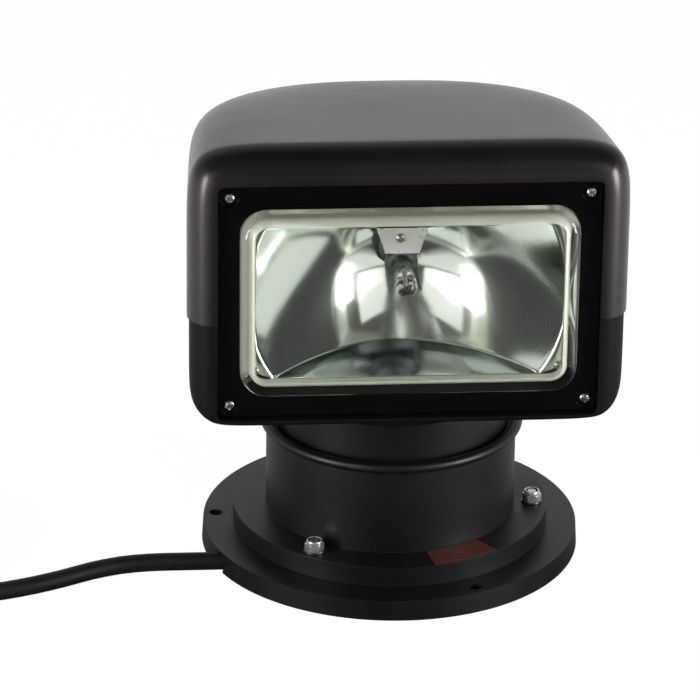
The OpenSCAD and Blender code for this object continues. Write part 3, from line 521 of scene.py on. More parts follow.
@dataclass
class Studio:
    """Camera, lamps, world and floor.

    Places are metres. A level is the strength at which the surroundings show in gloss and glass.
    """

    camera_place: Point = (-0.18595, -2.04535, 1.01604)
    camera_right: Point = (0.99707918, -0.07541273, 0.01208428)
    camera_up: Point = (0.01978511, 0.40786463, 0.91282802)
    lens_mm: float = 242.89
    sensor_mm: float = 36.0
    camera_reach: float = 50.0
    softboxes: tuple[Softbox, ...] = (
        Softbox("front_left_softbox", (-1.1, -1.35, 0.75), (1.1, 1.2), 4.8),
        Softbox("front_right_softbox", (0.9, -1.45, 0.75), (0.9, 1.2), 3.8),
        Softbox("left_strip", (-0.62, -0.38, 0.2), (0.12, 0.34), 3.0),
        Softbox("right_strip", (0.62, -0.38, 0.2), (0.22, 0.34), 4.2),
    )
    ambient: float = 0.2
    front_level: float = 0.065
    side_level: float = 0.48
    back_level: float = 0.8
    white_level: float = 1.0
    world_behind: Pair = (0.1, 0.9)
    world_beside: Pair = (0.7, 0.95)
    floor_behind: Pair = (-0.05, 0.3)
    floor_beside: Pair = (0.2, 0.38)
    floor_half: float = 6.0
    floor_z: float = -0.0003
    floor_tones: tuple[str, str] = ("#f4f4f4", "#f8f8f8")
    floor_fleck_mm: float = 100 / 3
    floor_glow: float = 1.07
    floor_glow_share: float = 0.9

    def camera(self) -> None:
        """Make the camera at the photograph's viewing angle."""
        data = bpy.data.cameras.new("camera")
        data.sensor_width = self.sensor_mm
        data.lens = self.lens_mm
        data.clip_end = self.camera_reach
        right, up = Vector(self.camera_right), Vector(self.camera_up)
        turn = Matrix((right, up, right.cross(up))).transposed().to_4x4()
        cam = put("camera", data)
        cam.matrix_world = Matrix.Translation(self.camera_place) @ turn
        bpy.context.scene.camera = cam

    def level(self, tree: bpy.types.NodeTree, place: bpy.types.NodeSocket, behind: tuple[Pair, float],
              beside: tuple[Pair, float]) -> bpy.types.NodeSocket:
        """Add the level of the surroundings: dim in front of the object, brighter beside and behind it.

        Args:
            tree: the node tree.
            place: a place or a direction.
            behind: from where to where the level rises along Y, and up to what.
            beside: the same to both sides along X.

        Returns:
            The level.
        """
        axes = add_node(tree, "ShaderNodeSeparateXYZ", {}, {0: place}).outputs
        aside = add_node(tree, "ShaderNodeMath", {"operation": "ABSOLUTE"}, {0: axes["X"]}).outputs[0]
        levels = []
        for (span, most), value in ((behind, axes["Y"]), (beside, aside)):
            levels.append(add_node(tree, "ShaderNodeMapRange",
                                   {"From Min": span[0], "From Max": span[1], "To Min": self.front_level,
                                    "To Max": most}, {"Value": value}).outputs[0])
        return add_node(tree, "ShaderNodeMath", {"operation": "MAXIMUM"},
                        {0: levels[0], 1: levels[1]}).outputs[0]

    def world(self) -> None:
        """Make the world: white behind the object, pale beside it and dim in front, as in a light tent."""
        world = bpy.data.worlds.new("studio")
        bpy.context.scene.world = world
        world.use_nodes = True
        world.cycles.sampling_method = "NONE"
        tree = world.node_tree
        tree.nodes.clear()
        path = add_node(tree, "ShaderNodeLightPath").outputs
        way = add_node(tree, "ShaderNodeTexCoord").outputs["Generated"]
        level = self.level(tree, way, (self.world_behind, self.back_level),
                           (self.world_beside, self.side_level))
        mirrored = add_node(tree, "ShaderNodeMath", {"operation": "MAXIMUM"},
                            {0: path["Is Glossy Ray"], 1: path["Is Transmission Ray"]}).outputs[0]
        seen = add_node(tree, "ShaderNodeMath", {"operation": "MULTIPLY"},
                        {0: mirrored, 1: level}).outputs[0]
        shown = add_node(tree, "ShaderNodeMath", {"operation": "MAXIMUM"},
                         {0: path["Is Camera Ray"], 1: seen}).outputs[0]
        soft = add_node(tree, "ShaderNodeMath", {"operation": "MULTIPLY", 1: self.ambient},
                        {0: path["Is Diffuse Ray"]}).outputs[0]
        strength = add_node(tree, "ShaderNodeMath", {"operation": "MAXIMUM"}, {0: shown, 1: soft}).outputs[0]
        back = add_node(tree, "ShaderNodeBackground", {"Color": linear("#ffffff")}, {"Strength": strength})
        add_node(tree, "ShaderNodeOutputWorld", {}, {"Surface": back.outputs[0]})

    def paper(self) -> bpy.types.Material:
        """Make the floor's pale paper: it glows to the camera, and gloss sees it as it sees the world.

        Returns:
            The material.
        """
        mat = bpy.data.materials.new("pale_floor")
        mat.use_nodes = True
        mat.cycles.emission_sampling = "NONE"
        tree = mat.node_tree
        tree.nodes.clear()
        path = add_node(tree, "ShaderNodeLightPath").outputs
        place = add_node(tree, "ShaderNodeTexCoord").outputs["Object"]
        fleck = add_node(tree, "ShaderNodeTexNoise",
                         {"Scale": 1 / (self.floor_fleck_mm * MM), "Detail": 3.0},
                         {"Vector": place}).outputs["Fac"]
        colours = {"data_type": "RGBA", 6: linear(self.floor_tones[0]), 7: linear(self.floor_tones[1])}
        tone = add_node(tree, "ShaderNodeMix", colours, {0: fleck}).outputs[2]
        paper = add_node(tree, "ShaderNodeBsdfDiffuse", {}, {"Color": tone}).outputs[0]
        glow = add_node(tree, "ShaderNodeEmission", {"Strength": self.floor_glow}).outputs[0]
        share = add_node(tree, "ShaderNodeMath", {"operation": "MULTIPLY", 1: self.floor_glow_share},
                         {0: path["Is Camera Ray"]}).outputs[0]
        seen = add_node(tree, "ShaderNodeMixShader", {}, {0: share, 1: paper, 2: glow}).outputs[0]
        level = self.level(tree, place, (self.floor_behind, self.white_level),
                           (self.floor_beside, self.white_level))
        dim = add_node(tree, "ShaderNodeEmission", {}, {"Strength": level}).outputs[0]
        both = add_node(tree, "ShaderNodeMixShader", {},
                        {0: path["Is Glossy Ray"], 1: seen, 2: dim}).outputs[0]
        add_node(tree, "ShaderNodeOutputMaterial", {}, {"Surface": both})
        return mat

    def floor(self) -> None:
        """Lay a pale floor that keeps the object's shadow."""
        bm = bmesh.new()
        bmesh.ops.create_grid(bm, x_segments=1, y_segments=1, size=self.floor_half)
        mesh = bpy.data.meshes.new("floor")
        for v in bm.verts:
            v.co.z = self.floor_z
        bm.to_mesh(mesh)
        bm.free()
        mesh.materials.append(self.paper())
        obj = put("floor", mesh)

    def build(self) -> None:
        """Make everything that isn't the object."""
        self.camera()
        self.world()
        self.floor()
        for box in self.softboxes:
            box.build()
        bpy.context.scene.view_settings.view_transform = "Standard"


# Cord


@dataclass
class SupplyCord:
    """Rubber supply cord, its stored coil, and the connector on its far end.

    The coil's lower layer winds inward, the cord climbs inside, and the upper layer winds outward. The
    places where it does so are degrees of its winding.
    """

    diameter: float = 8.6
    exit: Point = (-76.0, -32.5, 4.4)
    route: tuple[Pair, ...] = (
        (-83, -32.5), (-92, -32.5), (-106, -32.4), (-118, -32.7), (-131, -34.8), (-145, -40), (-158, -47),
        (-172, -53.5), (-186, -58.5), (-200, -62.2), (-209, -64.1), (-217.4, -65.2), (-228, -65.8),
        (-239, -66.0))
    rise_from: int = 8
    coil_at: Pair = (-250.0, -13.7)
    coil_z: float = 1.1
    outer: float = 52.3
    inner: float = 43.7
    wind: tuple[int, int, int] = (90, 1261, 9)
    inward: Pair = (370, 450)
    climb: Pair = (680, 765)
    outward: Pair = (980, 1070)
    tail_steps: int = 5
    plug_z: float = 8.2
    boot_y: float = 23.79
    boot_start: tuple[Pair, ...] = ((0.1, 0.0), (4.7, 0.0), (5.3, 0.5))
    boot_end: tuple[Pair, ...] = ((6.6, 18.5), (6.95, 19.4), (6.7, 20.0), (0.1, 20.0))
    ribs: int = 5
    first_rib: Pair = (5.35, 2.0)
    next_rib: Pair = (0.22, 3.2)
    rib: tuple[Pair, ...] = ((0.0, 0.0), (-0.75, 0.5), (-0.75, 1.2), (0.1, 1.7))

    @property
    def low(self) -> float:
        """Height of the middle of a cord in the coil's lower layer."""
        return self.coil_z + self.diameter / 2

    def coil_point(self, degrees: float) -> Point:
        """Return the cord's middle at an angle of its winding.

        Args:
            degrees: the angle.

        Returns:
            The place in millimetres.
        """
        inside = ease(degrees, *self.inward) - ease(degrees, *self.outward)
        radius = self.outer + (self.inner - self.outer) * inside
        height = self.low + self.diameter * ease(degrees, *self.climb)
        a = math.radians(degrees)
        return (self.coil_at[0] + radius * math.cos(a), self.coil_at[1] - radius * math.sin(a), height)

    def path(self) -> list[Point]:
        """Lay the whole route from the exit to the connector's boot.

        Returns:
            Its places in millimetres.
        """
        z0 = self.exit[2]
        points: list[Point] = [self.exit]
        for i, (x, y) in enumerate(self.route):
            rise = max(0.0, (i - self.rise_from) / (len(self.route) - self.rise_from))
            points.append((x, y, z0 + (self.low - z0) * rise))
        points += [self.coil_point(d) for d in range(*self.wind)]
        x, y, z = points[-1]
        for k in range(1, self.tail_steps + 1):
            t = k / self.tail_steps
            points.append((x, y + (self.boot_y - y) * t, z + (self.plug_z - z) * ease(t, 0, 1)))
        return points

    @staticmethod
    def smooth(points: Sequence[Point]) -> list[Point]:
        """Lay a Catmull-Rom curve through points, two steps to a span.

        Args:
            points: the points.

        Returns:
            The curve's points.
        """
        fine: list[Point] = []
        last = len(points) - 1
        for i in range(last):
            a, b, c, d = (Vector(points[max(0, min(last, k))]) for k in (i - 1, i, i + 1, i + 2))
            for t in (0.0, 0.5):
                p = 0.5 * (2 * b + (c - a) * t + (2 * a - 5 * b + 4 * c - d) * t * t
                           + (3 * b - a - 3 * c + d) * t * t * t)
                fine.append((p.x, p.y, p.z))
        fine.append(tuple(points[-1]))
        return fine

    def boot(self) -> bpy.types.Object:
        """Make the connector's ribbed rubber boot.

        Returns:
            The boot.
        """
        profile = list(self.boot_start)
        for i in range(self.ribs):
            r, z = (first + step * i for first, step in zip(self.first_rib, self.next_rib))
            profile += [(r + dr, z + dz) for dr, dz in self.rib]
        profile += self.boot_end
        foot = Matrix.Translation((self.coil_at[0] - self.outer, self.boot_y, self.plug_z))
        bm = bmesh.new()
        lathe(profile, foot @ Matrix.Rotation(math.radians(-90), 4, "X"), bm)
        return new_piece("ribbed_boot", bm, Body.BASE, NEOPRENE, ["connector_boot"])

    def build(self) -> None:
        curve = bpy.data.curves.new("supply_cord", "CURVE")
        curve.dimensions = "3D"
        curve.bevel_depth = self.diameter / 2 * MM
        curve.bevel_resolution = 6
        curve.use_fill_caps = True
        curve.resolution_u = 1
        spline = curve.splines.new("POLY")
        fine = self.smooth(self.path())
        spline.points.add(len(fine) - 1)
        for target, p in zip(spline.points, fine):
            target.co = (p[0] * MM, p[1] * MM, p[2] * MM, 1)
        spline.use_smooth = True
        curve.materials.append(NEOPRENE.material())
        cord = put("supply_cord", curve)
        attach(cord, Body.BASE.value)
        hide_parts("power_cord", "cord_coil", "cord_tail")
        boot = self.boot()
        tie = carry("coil_tie", "coil_strap", 0.3, Body.BASE, TIE_TAPE)
        plug = carry("connector_body", "connector_shell", 0.3, Body.BASE, CASE_PLASTIC)


# Head


@dataclass
class HeadShells:
    """Moulded cover and lower housing: lofts of superellipse half rings, as in the part's source.

    A side of 1 is the cover over the joint, and -1 the lower housing under it.
    """

    half: float = 101.0
    top: float = 234.0
    bottom: float = 97.0
    front: float = -86.0
    rear: float = 91.0
    split: float = 150.0
    wall: float = 3.0
    step: float = 1.0
    recess_x: float = 87.5
    recess_z: float = 57.9
    recess_depth: float = 12.0
    lamp_z: float = 160.0
    nose: float = 14.0
    inner_run: float = 6.0
    land: float = 0.7
    front_square: float = 60.0
    top_square: float = 10.0
    low_square: float = 9.0
    top_rear_square: float = 2.2
    low_rear_square: float = 3.0
    top_square_power: float = 3.5
    low_square_power: float = 2.0
    top_fall: float = 0.29
    side_draft: float = 0.09
    top_power: float = 7.0
    low_power: float = 2.3
    waist: float = 0.24
    waist_power: float = 10.0
    low_start: float = 20.0
    rear_share: float = 0.99
    rear_round: float = 7.0
    edge_round: float = 0.7
    edge_deg: float = 50.0
    slot_low: Point = (-38.5, -12.0, 92.0)
    slot_high: Point = (38.5, 58.0, 120.0)
    nose_steps: int = 14
    body_steps: int = 40
    corner_steps: int = 20
    corner_gather: float = 1.5

    @property
    def nose_y(self) -> float:
        """Where the rounded nose ends."""
        return self.front + self.nose

    @property
    def inner_start(self) -> float:
        """Where the inner skin reaches its full width."""
        return self.nose_y + self.inner_run

    def share(self, y: float) -> float:
        """Return how far a place lies along the body, from 0 to 1."""
        return part_way(y, self.nose_y, self.rear)

    def low_share(self, y: float) -> float:
        """Return how far a place lies along the rising part of the floor, from 0 to 1."""
        return part_way(y, self.low_start, self.rear)

    def half_at(self, y: float, full: float) -> float:
        """Return half of the width at a place, of a shell with a full half width."""
        s = self.share(y)
        return full * (1 - self.side_draft * s - self.waist * s ** self.waist_power)

    def height_at(self, y: float, side: int, inset: float) -> float:
        """Return a shell's height over the joint.

        Args:
            y: the place along the body.
            side: the shell.
            inset: how far the skin lies inside the outer one.

        Returns:
            The height, negative for the lower housing.
        """
        if side > 0:
            rise = (1 - self.share(y) ** self.top_power) ** (1 / self.top_power)
            return (self.top - self.split) * (1 - self.top_fall * self.share(y)) * rise - inset
        drop = (1 - self.low_share(y) ** self.low_power) ** (1 / self.low_power)
        return -(self.split - self.bottom) * drop + inset

    @staticmethod
    def blend(a: float, b: float, s: float) -> float:
        """Return a squareness between two."""
        return 1 / (1 / a + (1 / b - 1 / a) * s)

    def square_at(self, y: float, side: int) -> float:
        """Return a ring's squareness.

        Args:
            y: the place along the body.
            side: the shell.

        Returns:
            The superellipse's power.
        """
        if side > 0:
            s = self.share(y) ** self.top_square_power
            return self.blend(self.top_square, self.top_rear_square, s)
        s = self.low_share(y) ** self.low_square_power
        return self.blend(self.low_square, self.low_rear_square, s)

    def angles(self) -> list[float]:
        """Return a half ring's directions, close together at the corners.

        Returns:
            Degrees from 0 to 180.
        """
        n = self.corner_steps
        first = []
        for k in range(-n, n + 1):
            u = k / n
            first.append(45 + 45 * math.copysign(abs(u) ** self.corner_gather, u))
        return first + [180 - a for a in reversed(first[:-1])]

    def half_ring(self, x: float, h: float, power: float, y: float) -> Ring:
        """Draw one superellipse half ring.

        Args:
            x: half of its width.
            h: its height over the joint.
            power: its squareness.
            y: its place along the body.

        Returns:
            Its points.
        """
        ring = []
        for a in self.angles():
            c, s = math.cos(math.radians(a)), math.sin(math.radians(a))
            if a in (0, 180):
                s = 0.0
            k = (abs(c) ** power + abs(s) ** power) ** (-1 / power)
            ring.append((x * c * k, y, self.split + h * s * k))
        return ring

    def station(self, t: float) -> float:
        """Return a place along the body for a share of its steps."""
        return self.nose_y + (self.rear - self.nose_y) * self.rear_share * math.sin(math.pi / 2 * t)

    def rear_inset(self, y: float) -> float:
        """Return how far the skin turns in at a place, so that it rolls over into the rear face."""
        t = max(0.0, 1 - (self.station(1.0) - y) / self.rear_round)
        return self.rear_round * (1 - math.sqrt(1 - t * t))

    def outer_rings(self, side: int, half: float) -> list[Ring]:
        """Draw the outer skin.

        Args:
            side: the shell.
            half: half of its full width.

        Returns:
            Its rings, front to rear.
        """
        rings = []
        h0 = self.lamp_z - self.split + side * (self.recess_z + self.land)
        h1 = self.height_at(self.nose_y, side, 0)
        x0 = self.recess_x + self.land
        for j in range(self.nose_steps + 1):
            a = math.pi / 2 * j / self.nose_steps
            s = math.sin(a)
            power = self.blend(self.front_square, self.square_at(self.nose_y, side), s)
            rings.append(self.half_ring(x0 + (half - x0) * s, h0 + (h1 - h0) * s, power,
                                        self.front + self.nose * (1 - math.cos(a))))
        for j in range(1, self.body_steps + 1):
            y = self.station(j / self.body_steps)
            inset = self.rear_inset(y)
            rings.append(self.half_ring(self.half_at(y, half) - inset, self.height_at(y, side, inset),
                                        self.square_at(y, side), y))
        return rings

    def inner_rings(self, side: int, half: float) -> list[Ring]:
        """Draw the inner skin, with the flat walls of the recess at its front.

        Args:
            side: the shell.
            half: half of its full width.

        Returns:
            Its rings, front to rear, as many as the outer skin's.
        """
        rings = []
        x0, h0 = self.recess_x, self.lamp_z - self.split + side * self.recess_z
        x1, h1 = half - self.wall, self.height_at(self.inner_start, side, self.wall)
        back = self.front + self.recess_depth
        flat = self.nose_steps // 2
        for j in range(flat + 1):
            y = self.front + (back - self.front) * j / flat
            rings.append(self.half_ring(x0, h0, self.front_square, y))
        for j in range(flat + 1, self.nose_steps + 1):
            s = (j - flat) / (self.nose_steps - flat)
            power = self.blend(self.front_square, self.square_at(self.nose_y, side), s)
            rings.append(self.half_ring(x0 + (x1 - x0) * s, h0 + (h1 - h0) * s, power,
                                        back + (self.inner_start - back) * s))
        end = self.station(1.0)
        for j in range(1, self.body_steps + 1):
            t = (self.station(j / self.body_steps) - self.nose_y) / (end - self.nose_y)
            y = self.inner_start + (end - self.wall - self.inner_start) * t
            rings.append(self.half_ring(self.half_at(y, half) - self.wall,
                                        self.height_at(y, side, self.wall), self.square_at(y, side), y))
        return rings

    def shell(self, name: str, node: str, side: int, half: float, finish: Finish) -> bpy.types.Object:
        """Make one shell: an outer and an inner skin, closed at the front edge, the joint and the rear.

        Args:
            name: the piece's name.
            node: the CAD node that it replaces.
            side: the shell.
            half: half of its full width.
            finish: its finish.

        Returns:
            The shell.
        """
        bm = bmesh.new()
        outer = loft(bm, self.outer_rings(side, half), closed=False)
        inner = loft(bm, self.inner_rings(side, half), closed=False)
        count = len(outer[0])
        for i in range(count - 1):
            bm.faces.new((outer[0][i], inner[0][i], inner[0][i + 1], outer[0][i + 1]))
        for i in (0, count - 1):
            for j in range(len(outer) - 1):
                bm.faces.new((outer[j][i], outer[j + 1][i], inner[j + 1][i], inner[j][i]))
        bm.faces.new((outer[-1][0], outer[-1][-1], inner[-1][-1], inner[-1][0]))
        bm.faces.new(outer[-1])
        bm.faces.new(inner[-1])
        bmesh.ops.recalc_face_normals(bm, faces=bm.faces)
        round_edges(bm, self.edge_round, self.edge_deg)
        return new_piece(name, bm, Body.HEAD, finish, [node])

    def build(self) -> None:
        """Make both shells, and the opening for the yoke in the floor."""
        self.shell("cover_shell", "upper_cover", 1, self.half, SHELL_NYLON)
        # The lower housing's finish is darker and less glossy by painted shade
        lower = self.shell("lower_shell", "lower_housing", -1, self.half - self.step, SHADED_TEXTURED_NYLON)
        cut(lower, self.slot_low, self.slot_high)


@dataclass
class LampUnit:
    """Bezel, dished lens, mirror bowl and bulb."""

    lamp_z: float = 160.0
    lens_x: float = 77.2
    lens_z: float = 45.0
    lens_front: float = -90.6
    lens_corner: float = 12.0
    lens_edge: float = 5.0
    lens_fillet: float = 3.0
    lens_margin: float = 3.0
    lens_margin_corners: Pair = (3.0, 4.0)
    lens_root: Pair = (0.3, 0.4)
    dish_corner: float = 5.0
    fillet_steps: int = 6
    edge_steps: int = 8
    milky_rows: tuple[int, int] = (2, 8)
    lens_sharp_deg: float = 50.0
    glass: float = 4.5
    bezel_back: float = -78.5
    bezel_round: float = 0.45
    gasket_y: float = -76.0
    frame_y: float = -74.5
    flange: float = 4.0
    flange_corner: float = 14.0
    corner_steps: int = 12
    focus: float = 23.5
    bowl_r: float = 74.0
    bowl_z: float = 41.0
    hole_r: float = 9.0
    side_steps: int = 44
    wall_steps: int = 64
    bowl_steps: int = 36
    rim_grow: float = 2.0
    rim_corner: float = 9.6
    bowl_round: float = 1.1
    bowl_round_deg: float = 28.0
    bowl_t: float = 1.2
    bulb_tip: float = -55.25
    bulb_end: float = 8.0
    bulb_reach: float = 15.0
    burner_back: float = 15.0
    burner_half: int = 5
    burner_swell: float = 1.9
    stem_r: float = 0.5
    stem_end: float = 9.0
    clip_y: float = -42.5
    clip_back: float = -23.0
    clip_t: float = 1.0
    clip_round: float = 0.35
    clip_rows: tuple[Pair, ...] = ((6.5, 8.0), (13.0, 10.0), (20.0, 12.3))
    collar_rows: tuple[Point, ...] = (
        (-40.8, 7.0, 0.0), (-40.2, 7.4, 0.35), (-34.6, 7.4, 0.35), (-34.0, 7.0, 0.0), (-34.0, 5.4, 0.0),
        (-40.8, 5.4, 0.0), (-40.8, 7.0, 0.0))
    collar_points: int = 144
    knurls: int = 24

    @property
    def vertex_y(self) -> float:
        """Where the bowl's vertex lies."""
        return self.frame_y + self.bowl_r ** 2 / (4 * self.focus)

    def frame_ring(self, x: float, z: float, r: float, y: float) -> Ring:
        """Draw a rectangle with round corners, in X and Z about the lamp axis.

        Args:
            x: half of its width.
            z: half of its height.
            r: its corner radius.
            y: its place along the axis.

        Returns:
            Its points.
        """
        ring = []
        for q in range(4):
            sx, sz = (1 if q in (0, 3) else -1), (1 if q < 2 else -1)
            for k in range(self.corner_steps + 1):
                a = math.radians(90 * q + 90 * k / self.corner_steps)
                across, up = sx * (x - r) + r * math.cos(a), sz * (z - r) + r * math.sin(a)
                ring.append((across, y, self.lamp_z + up))
        return ring

    def lens(self) -> None:
        """Make the glass: a dish with rounded edges outside and inside, and a flange behind the bezel."""
        t, fillet, edge = self.glass, self.lens_fillet, self.lens_edge
        inside, flat = self.lens_front + t, -t - fillet
        margin_in, margin_out = self.lens_margin_corners
        root_in, root_out = self.lens_root
        # Growth over the lens's outline, corner radius and place of each ring
        rows = [(flat - self.lens_margin, margin_in, inside), (flat, self.dish_corner, inside)]
        for k in range(1, self.fillet_steps + 1):
            a = math.radians(90 * k / self.fillet_steps)
            grow = fillet * math.sin(a)
            rows.append((flat + grow, self.dish_corner + grow, inside + fillet * (1 - math.cos(a))))
        rows += [(-t, self.dish_corner + fillet, self.gasket_y - root_in),
                 (-t, self.dish_corner + fillet, self.gasket_y),
                 (self.flange, self.flange_corner, self.gasket_y),
                 (self.flange, self.flange_corner, self.bezel_back),
                 (0.0, self.lens_corner, self.bezel_back),
                 (0.0, self.lens_corner, self.bezel_back - root_out)]
        for k in range(self.edge_steps + 1):
            a = math.radians(90 * k / self.edge_steps)
            inset = edge * (1 - math.cos(a))
            rows.append((-inset, self.lens_corner - inset, self.lens_front + edge * (1 - math.sin(a))))
        rows.append((-edge - self.lens_margin, margin_out, self.lens_front))
        rings = [self.frame_ring(self.lens_x + grow, self.lens_z + grow, corner, y)
                 for grow, corner, y in rows]
        bm = bmesh.new()
        loft(bm, rings, capped=True)
        first, last = self.milky_rows
        for index, face in enumerate(bm.faces):
            face.material_index = int(first <= index // len(rings[0]) <= last)
        piece = new_piece("lens_dish", bm, Body.HEAD, PRESSED_GLASS, ["lens"],
                          sharp_deg=self.lens_sharp_deg)
        # The milky inner wall's pale band round the glass is painted light
        piece.data.materials.append(PAINTED_LIGHT_GLASS.material())
        # The studio's lamps shine through the glass onto the bulb
        piece.visible_shadow = False

    @staticmethod
    def rim_point(a: float, x: float, z: float, r: float) -> Pair:
        """Find where a ray from the lamp axis meets a rectangle with round corners.

        Args:
            a: the ray's direction.
            x: half of the rectangle's width.
            z: half of its height.
            r: its corner radius.

        Returns:
            The place, across and up.
        """
        c, s = math.cos(a), math.sin(a)
        t = min(x / max(abs(c), 1e-9), z / max(abs(s), 1e-9))
        px, pz = abs(c) * t, abs(s) * t
        if px > x - r and pz > z - r:
            ox, oz = x - r, z - r
            b = abs(c) * ox + abs(s) * oz
            t = b + math.sqrt(max(0.0, b * b - (ox * ox + oz * oz - r * r)))
        return c * t, s * t

    def bowl_limit(self, a: float) -> float:
        """Return how far the bowl reaches in a direction, before its rim or a flat wall ends it."""
        return min(self.bowl_r, self.bowl_z / max(abs(math.sin(a)), 1e-9))

    def bowl_turns(self) -> list[float]:
        """Return the bowl's directions, with one at each corner between bowl and flat wall.

        Returns:
            Radians.
        """
        corner = math.asin(self.bowl_z / self.bowl_r)
        turns: list[float] = []
        for low, high, count in ((-corner, corner, self.side_steps),
                                 (corner, math.pi - corner, self.wall_steps),
                                 (math.pi - corner, math.pi + corner, self.side_steps),
                                 (math.pi + corner, 2 * math.pi - corner, self.wall_steps)):
            turns += [low + (high - low) * i / count for i in range(count)]
        return turns

    def reflector(self) -> None:
        """Make the mirror: a parabolic bowl with flat walls above and below, and a flat rim."""
        turns = self.bowl_turns()
        rings: list[Ring] = []
        for j in range(self.bowl_steps + 1):
            ring = []
            for a in turns:
                r = self.hole_r + (self.bowl_limit(a) - self.hole_r) * j / self.bowl_steps
                depth = self.vertex_y - r * r / (4 * self.focus)
                ring.append((r * math.cos(a), depth, self.lamp_z + r * math.sin(a)))
            rings.append(ring)
        rings.append([(self.bowl_limit(a) * math.cos(a), self.frame_y,
                       self.lamp_z + self.bowl_limit(a) * math.sin(a)) for a in turns])
        grow = self.rim_grow
        rim = [self.rim_point(a, self.lens_x + grow, self.lens_z + grow, self.rim_corner) for a in turns]
        rings.append([(x, self.frame_y, self.lamp_z + z) for x, z in rim])
        bm = bmesh.new()
        loft(bm, rings)
        bmesh.ops.remove_doubles(bm, verts=bm.verts, dist=WELD)
        bmesh.ops.recalc_face_normals(bm, faces=bm.faces)
        round_edges(bm, self.bowl_round, self.bowl_round_deg, 4)
        piece = new_piece("mirror_bowl", bm, Body.HEAD, MIRROR_COAT, ["reflector"],
                          weighted=False)
        towards_front = piece.data.polygons[0].normal.y < 0
        skin = piece.modifiers.new("thickness", "SOLIDIFY")
        skin.thickness = self.bowl_t * MM
        skin.offset = -1.0 if towards_front else 1.0

    def drawn(self, node: str, name: str, finish: Finish) -> bpy.types.Object:
        """Make a piece of one of the bulb's CAD nodes, with its front end drawn toward the lens.

        Args:
            node: the CAD node that the piece replaces.
            name: the piece's name.
            finish: its finish.

        Returns:
            The piece.
        """
        bm = node_mesh(node)
        bmesh.ops.dissolve_degenerate(bm, edges=bm.edges, dist=WELD)
        for v in bm.verts:
            if v.co.y < (self.bulb_tip + self.bulb_end) * MM:
                v.co.y -= self.bulb_reach * MM
        return new_piece(name, bm, Body.HEAD, finish, [node], weighted=False, sharp_deg=SHARP_DEG)

    def bulb(self) -> None:
        """Make the quartz capsule and the metal base with its return wire."""
        capsule = self.drawn("bulb_capsule", "quartz_capsule", QUARTZ)
        # The studio's lamps shine through the quartz onto the burner
        capsule.visible_shadow = False
        self.drawn("bulb_base", "bulb_foot", ZINC_STEEL)

    def burner(self) -> None:
        """Make the bulb's inner burner on its two stems."""
        bm = bmesh.new()
        mid = self.bulb_tip - self.bulb_reach + self.burner_back
        place = Matrix.Translation((0, mid, self.lamp_z)) @ Matrix.Rotation(math.radians(90), 4, "X")
        r, half, end = self.stem_r, self.burner_half, self.stem_end
        profile = [(POLE, -end), (r, -end), (r, -half)]
        for k in range(1, 2 * half):
            profile.append((r + self.burner_swell * math.sin(math.pi * k / (2 * half)), k - half))
        profile += [(r, half), (r, end), (POLE, end)]
        lathe(profile, place, bm, 20)
        new_piece("arc_burner", bm, Body.HEAD, TUNGSTEN)

    def clip(self) -> None:
        """Make the bulb's clip: a folded bracket that narrows toward the bulb, with a leg down each side."""
        t, front, back = self.clip_t, self.clip_y, self.clip_back
        rings: list[Ring] = []
        for height, w in self.clip_rows:
            outline = ((-w, back), (-w, front), (w, front), (w, back), (w - t, back), (w - t, front + t),
                       (t - w, front + t), (t - w, back))
            rings.append([(x, y, self.lamp_z + height) for x, y in outline])
        bm = bmesh.new()
        loft(bm, rings, capped=True)
        bmesh.ops.recalc_face_normals(bm, faces=bm.faces)
        round_edges(bm, self.clip_round, SHARP_DEG)
        new_piece("spring_clip", bm, Body.HEAD, TINNED_STEEL, ["bulb_clip"])

    def collar(self) -> None:
        """Make the knurled collar that holds the bulb behind the clip's plate."""
        bm = bmesh.new()
        rings: list[Ring] = []
        for y, r, knurl in self.collar_rows:
            ring = []
            for i, (c, s) in enumerate(circle(self.collar_points)):
                q = r + knurl * math.cos(self.knurls * 2 * math.pi * i / self.collar_points)
                ring.append((q * c, y, self.lamp_z + q * s))
            rings.append(ring)
        loft(bm, rings)
        bmesh.ops.remove_doubles(bm, verts=bm.verts, dist=WELD)
        new_piece("bulb_collar", bm, Body.HEAD, ZINC_STEEL, weighted=False,
                  sharp_deg=SHARP_DEG)

    def build(self) -> None:
        """Make the lamp unit."""
        carry("bezel", "bezel_plate", self.bezel_round, Body.HEAD, GLOSS_ABS)
        self.lens()
        self.reflector()
        self.bulb()
        self.burner()
        self.clip()
        self.collar()


# Fasteners


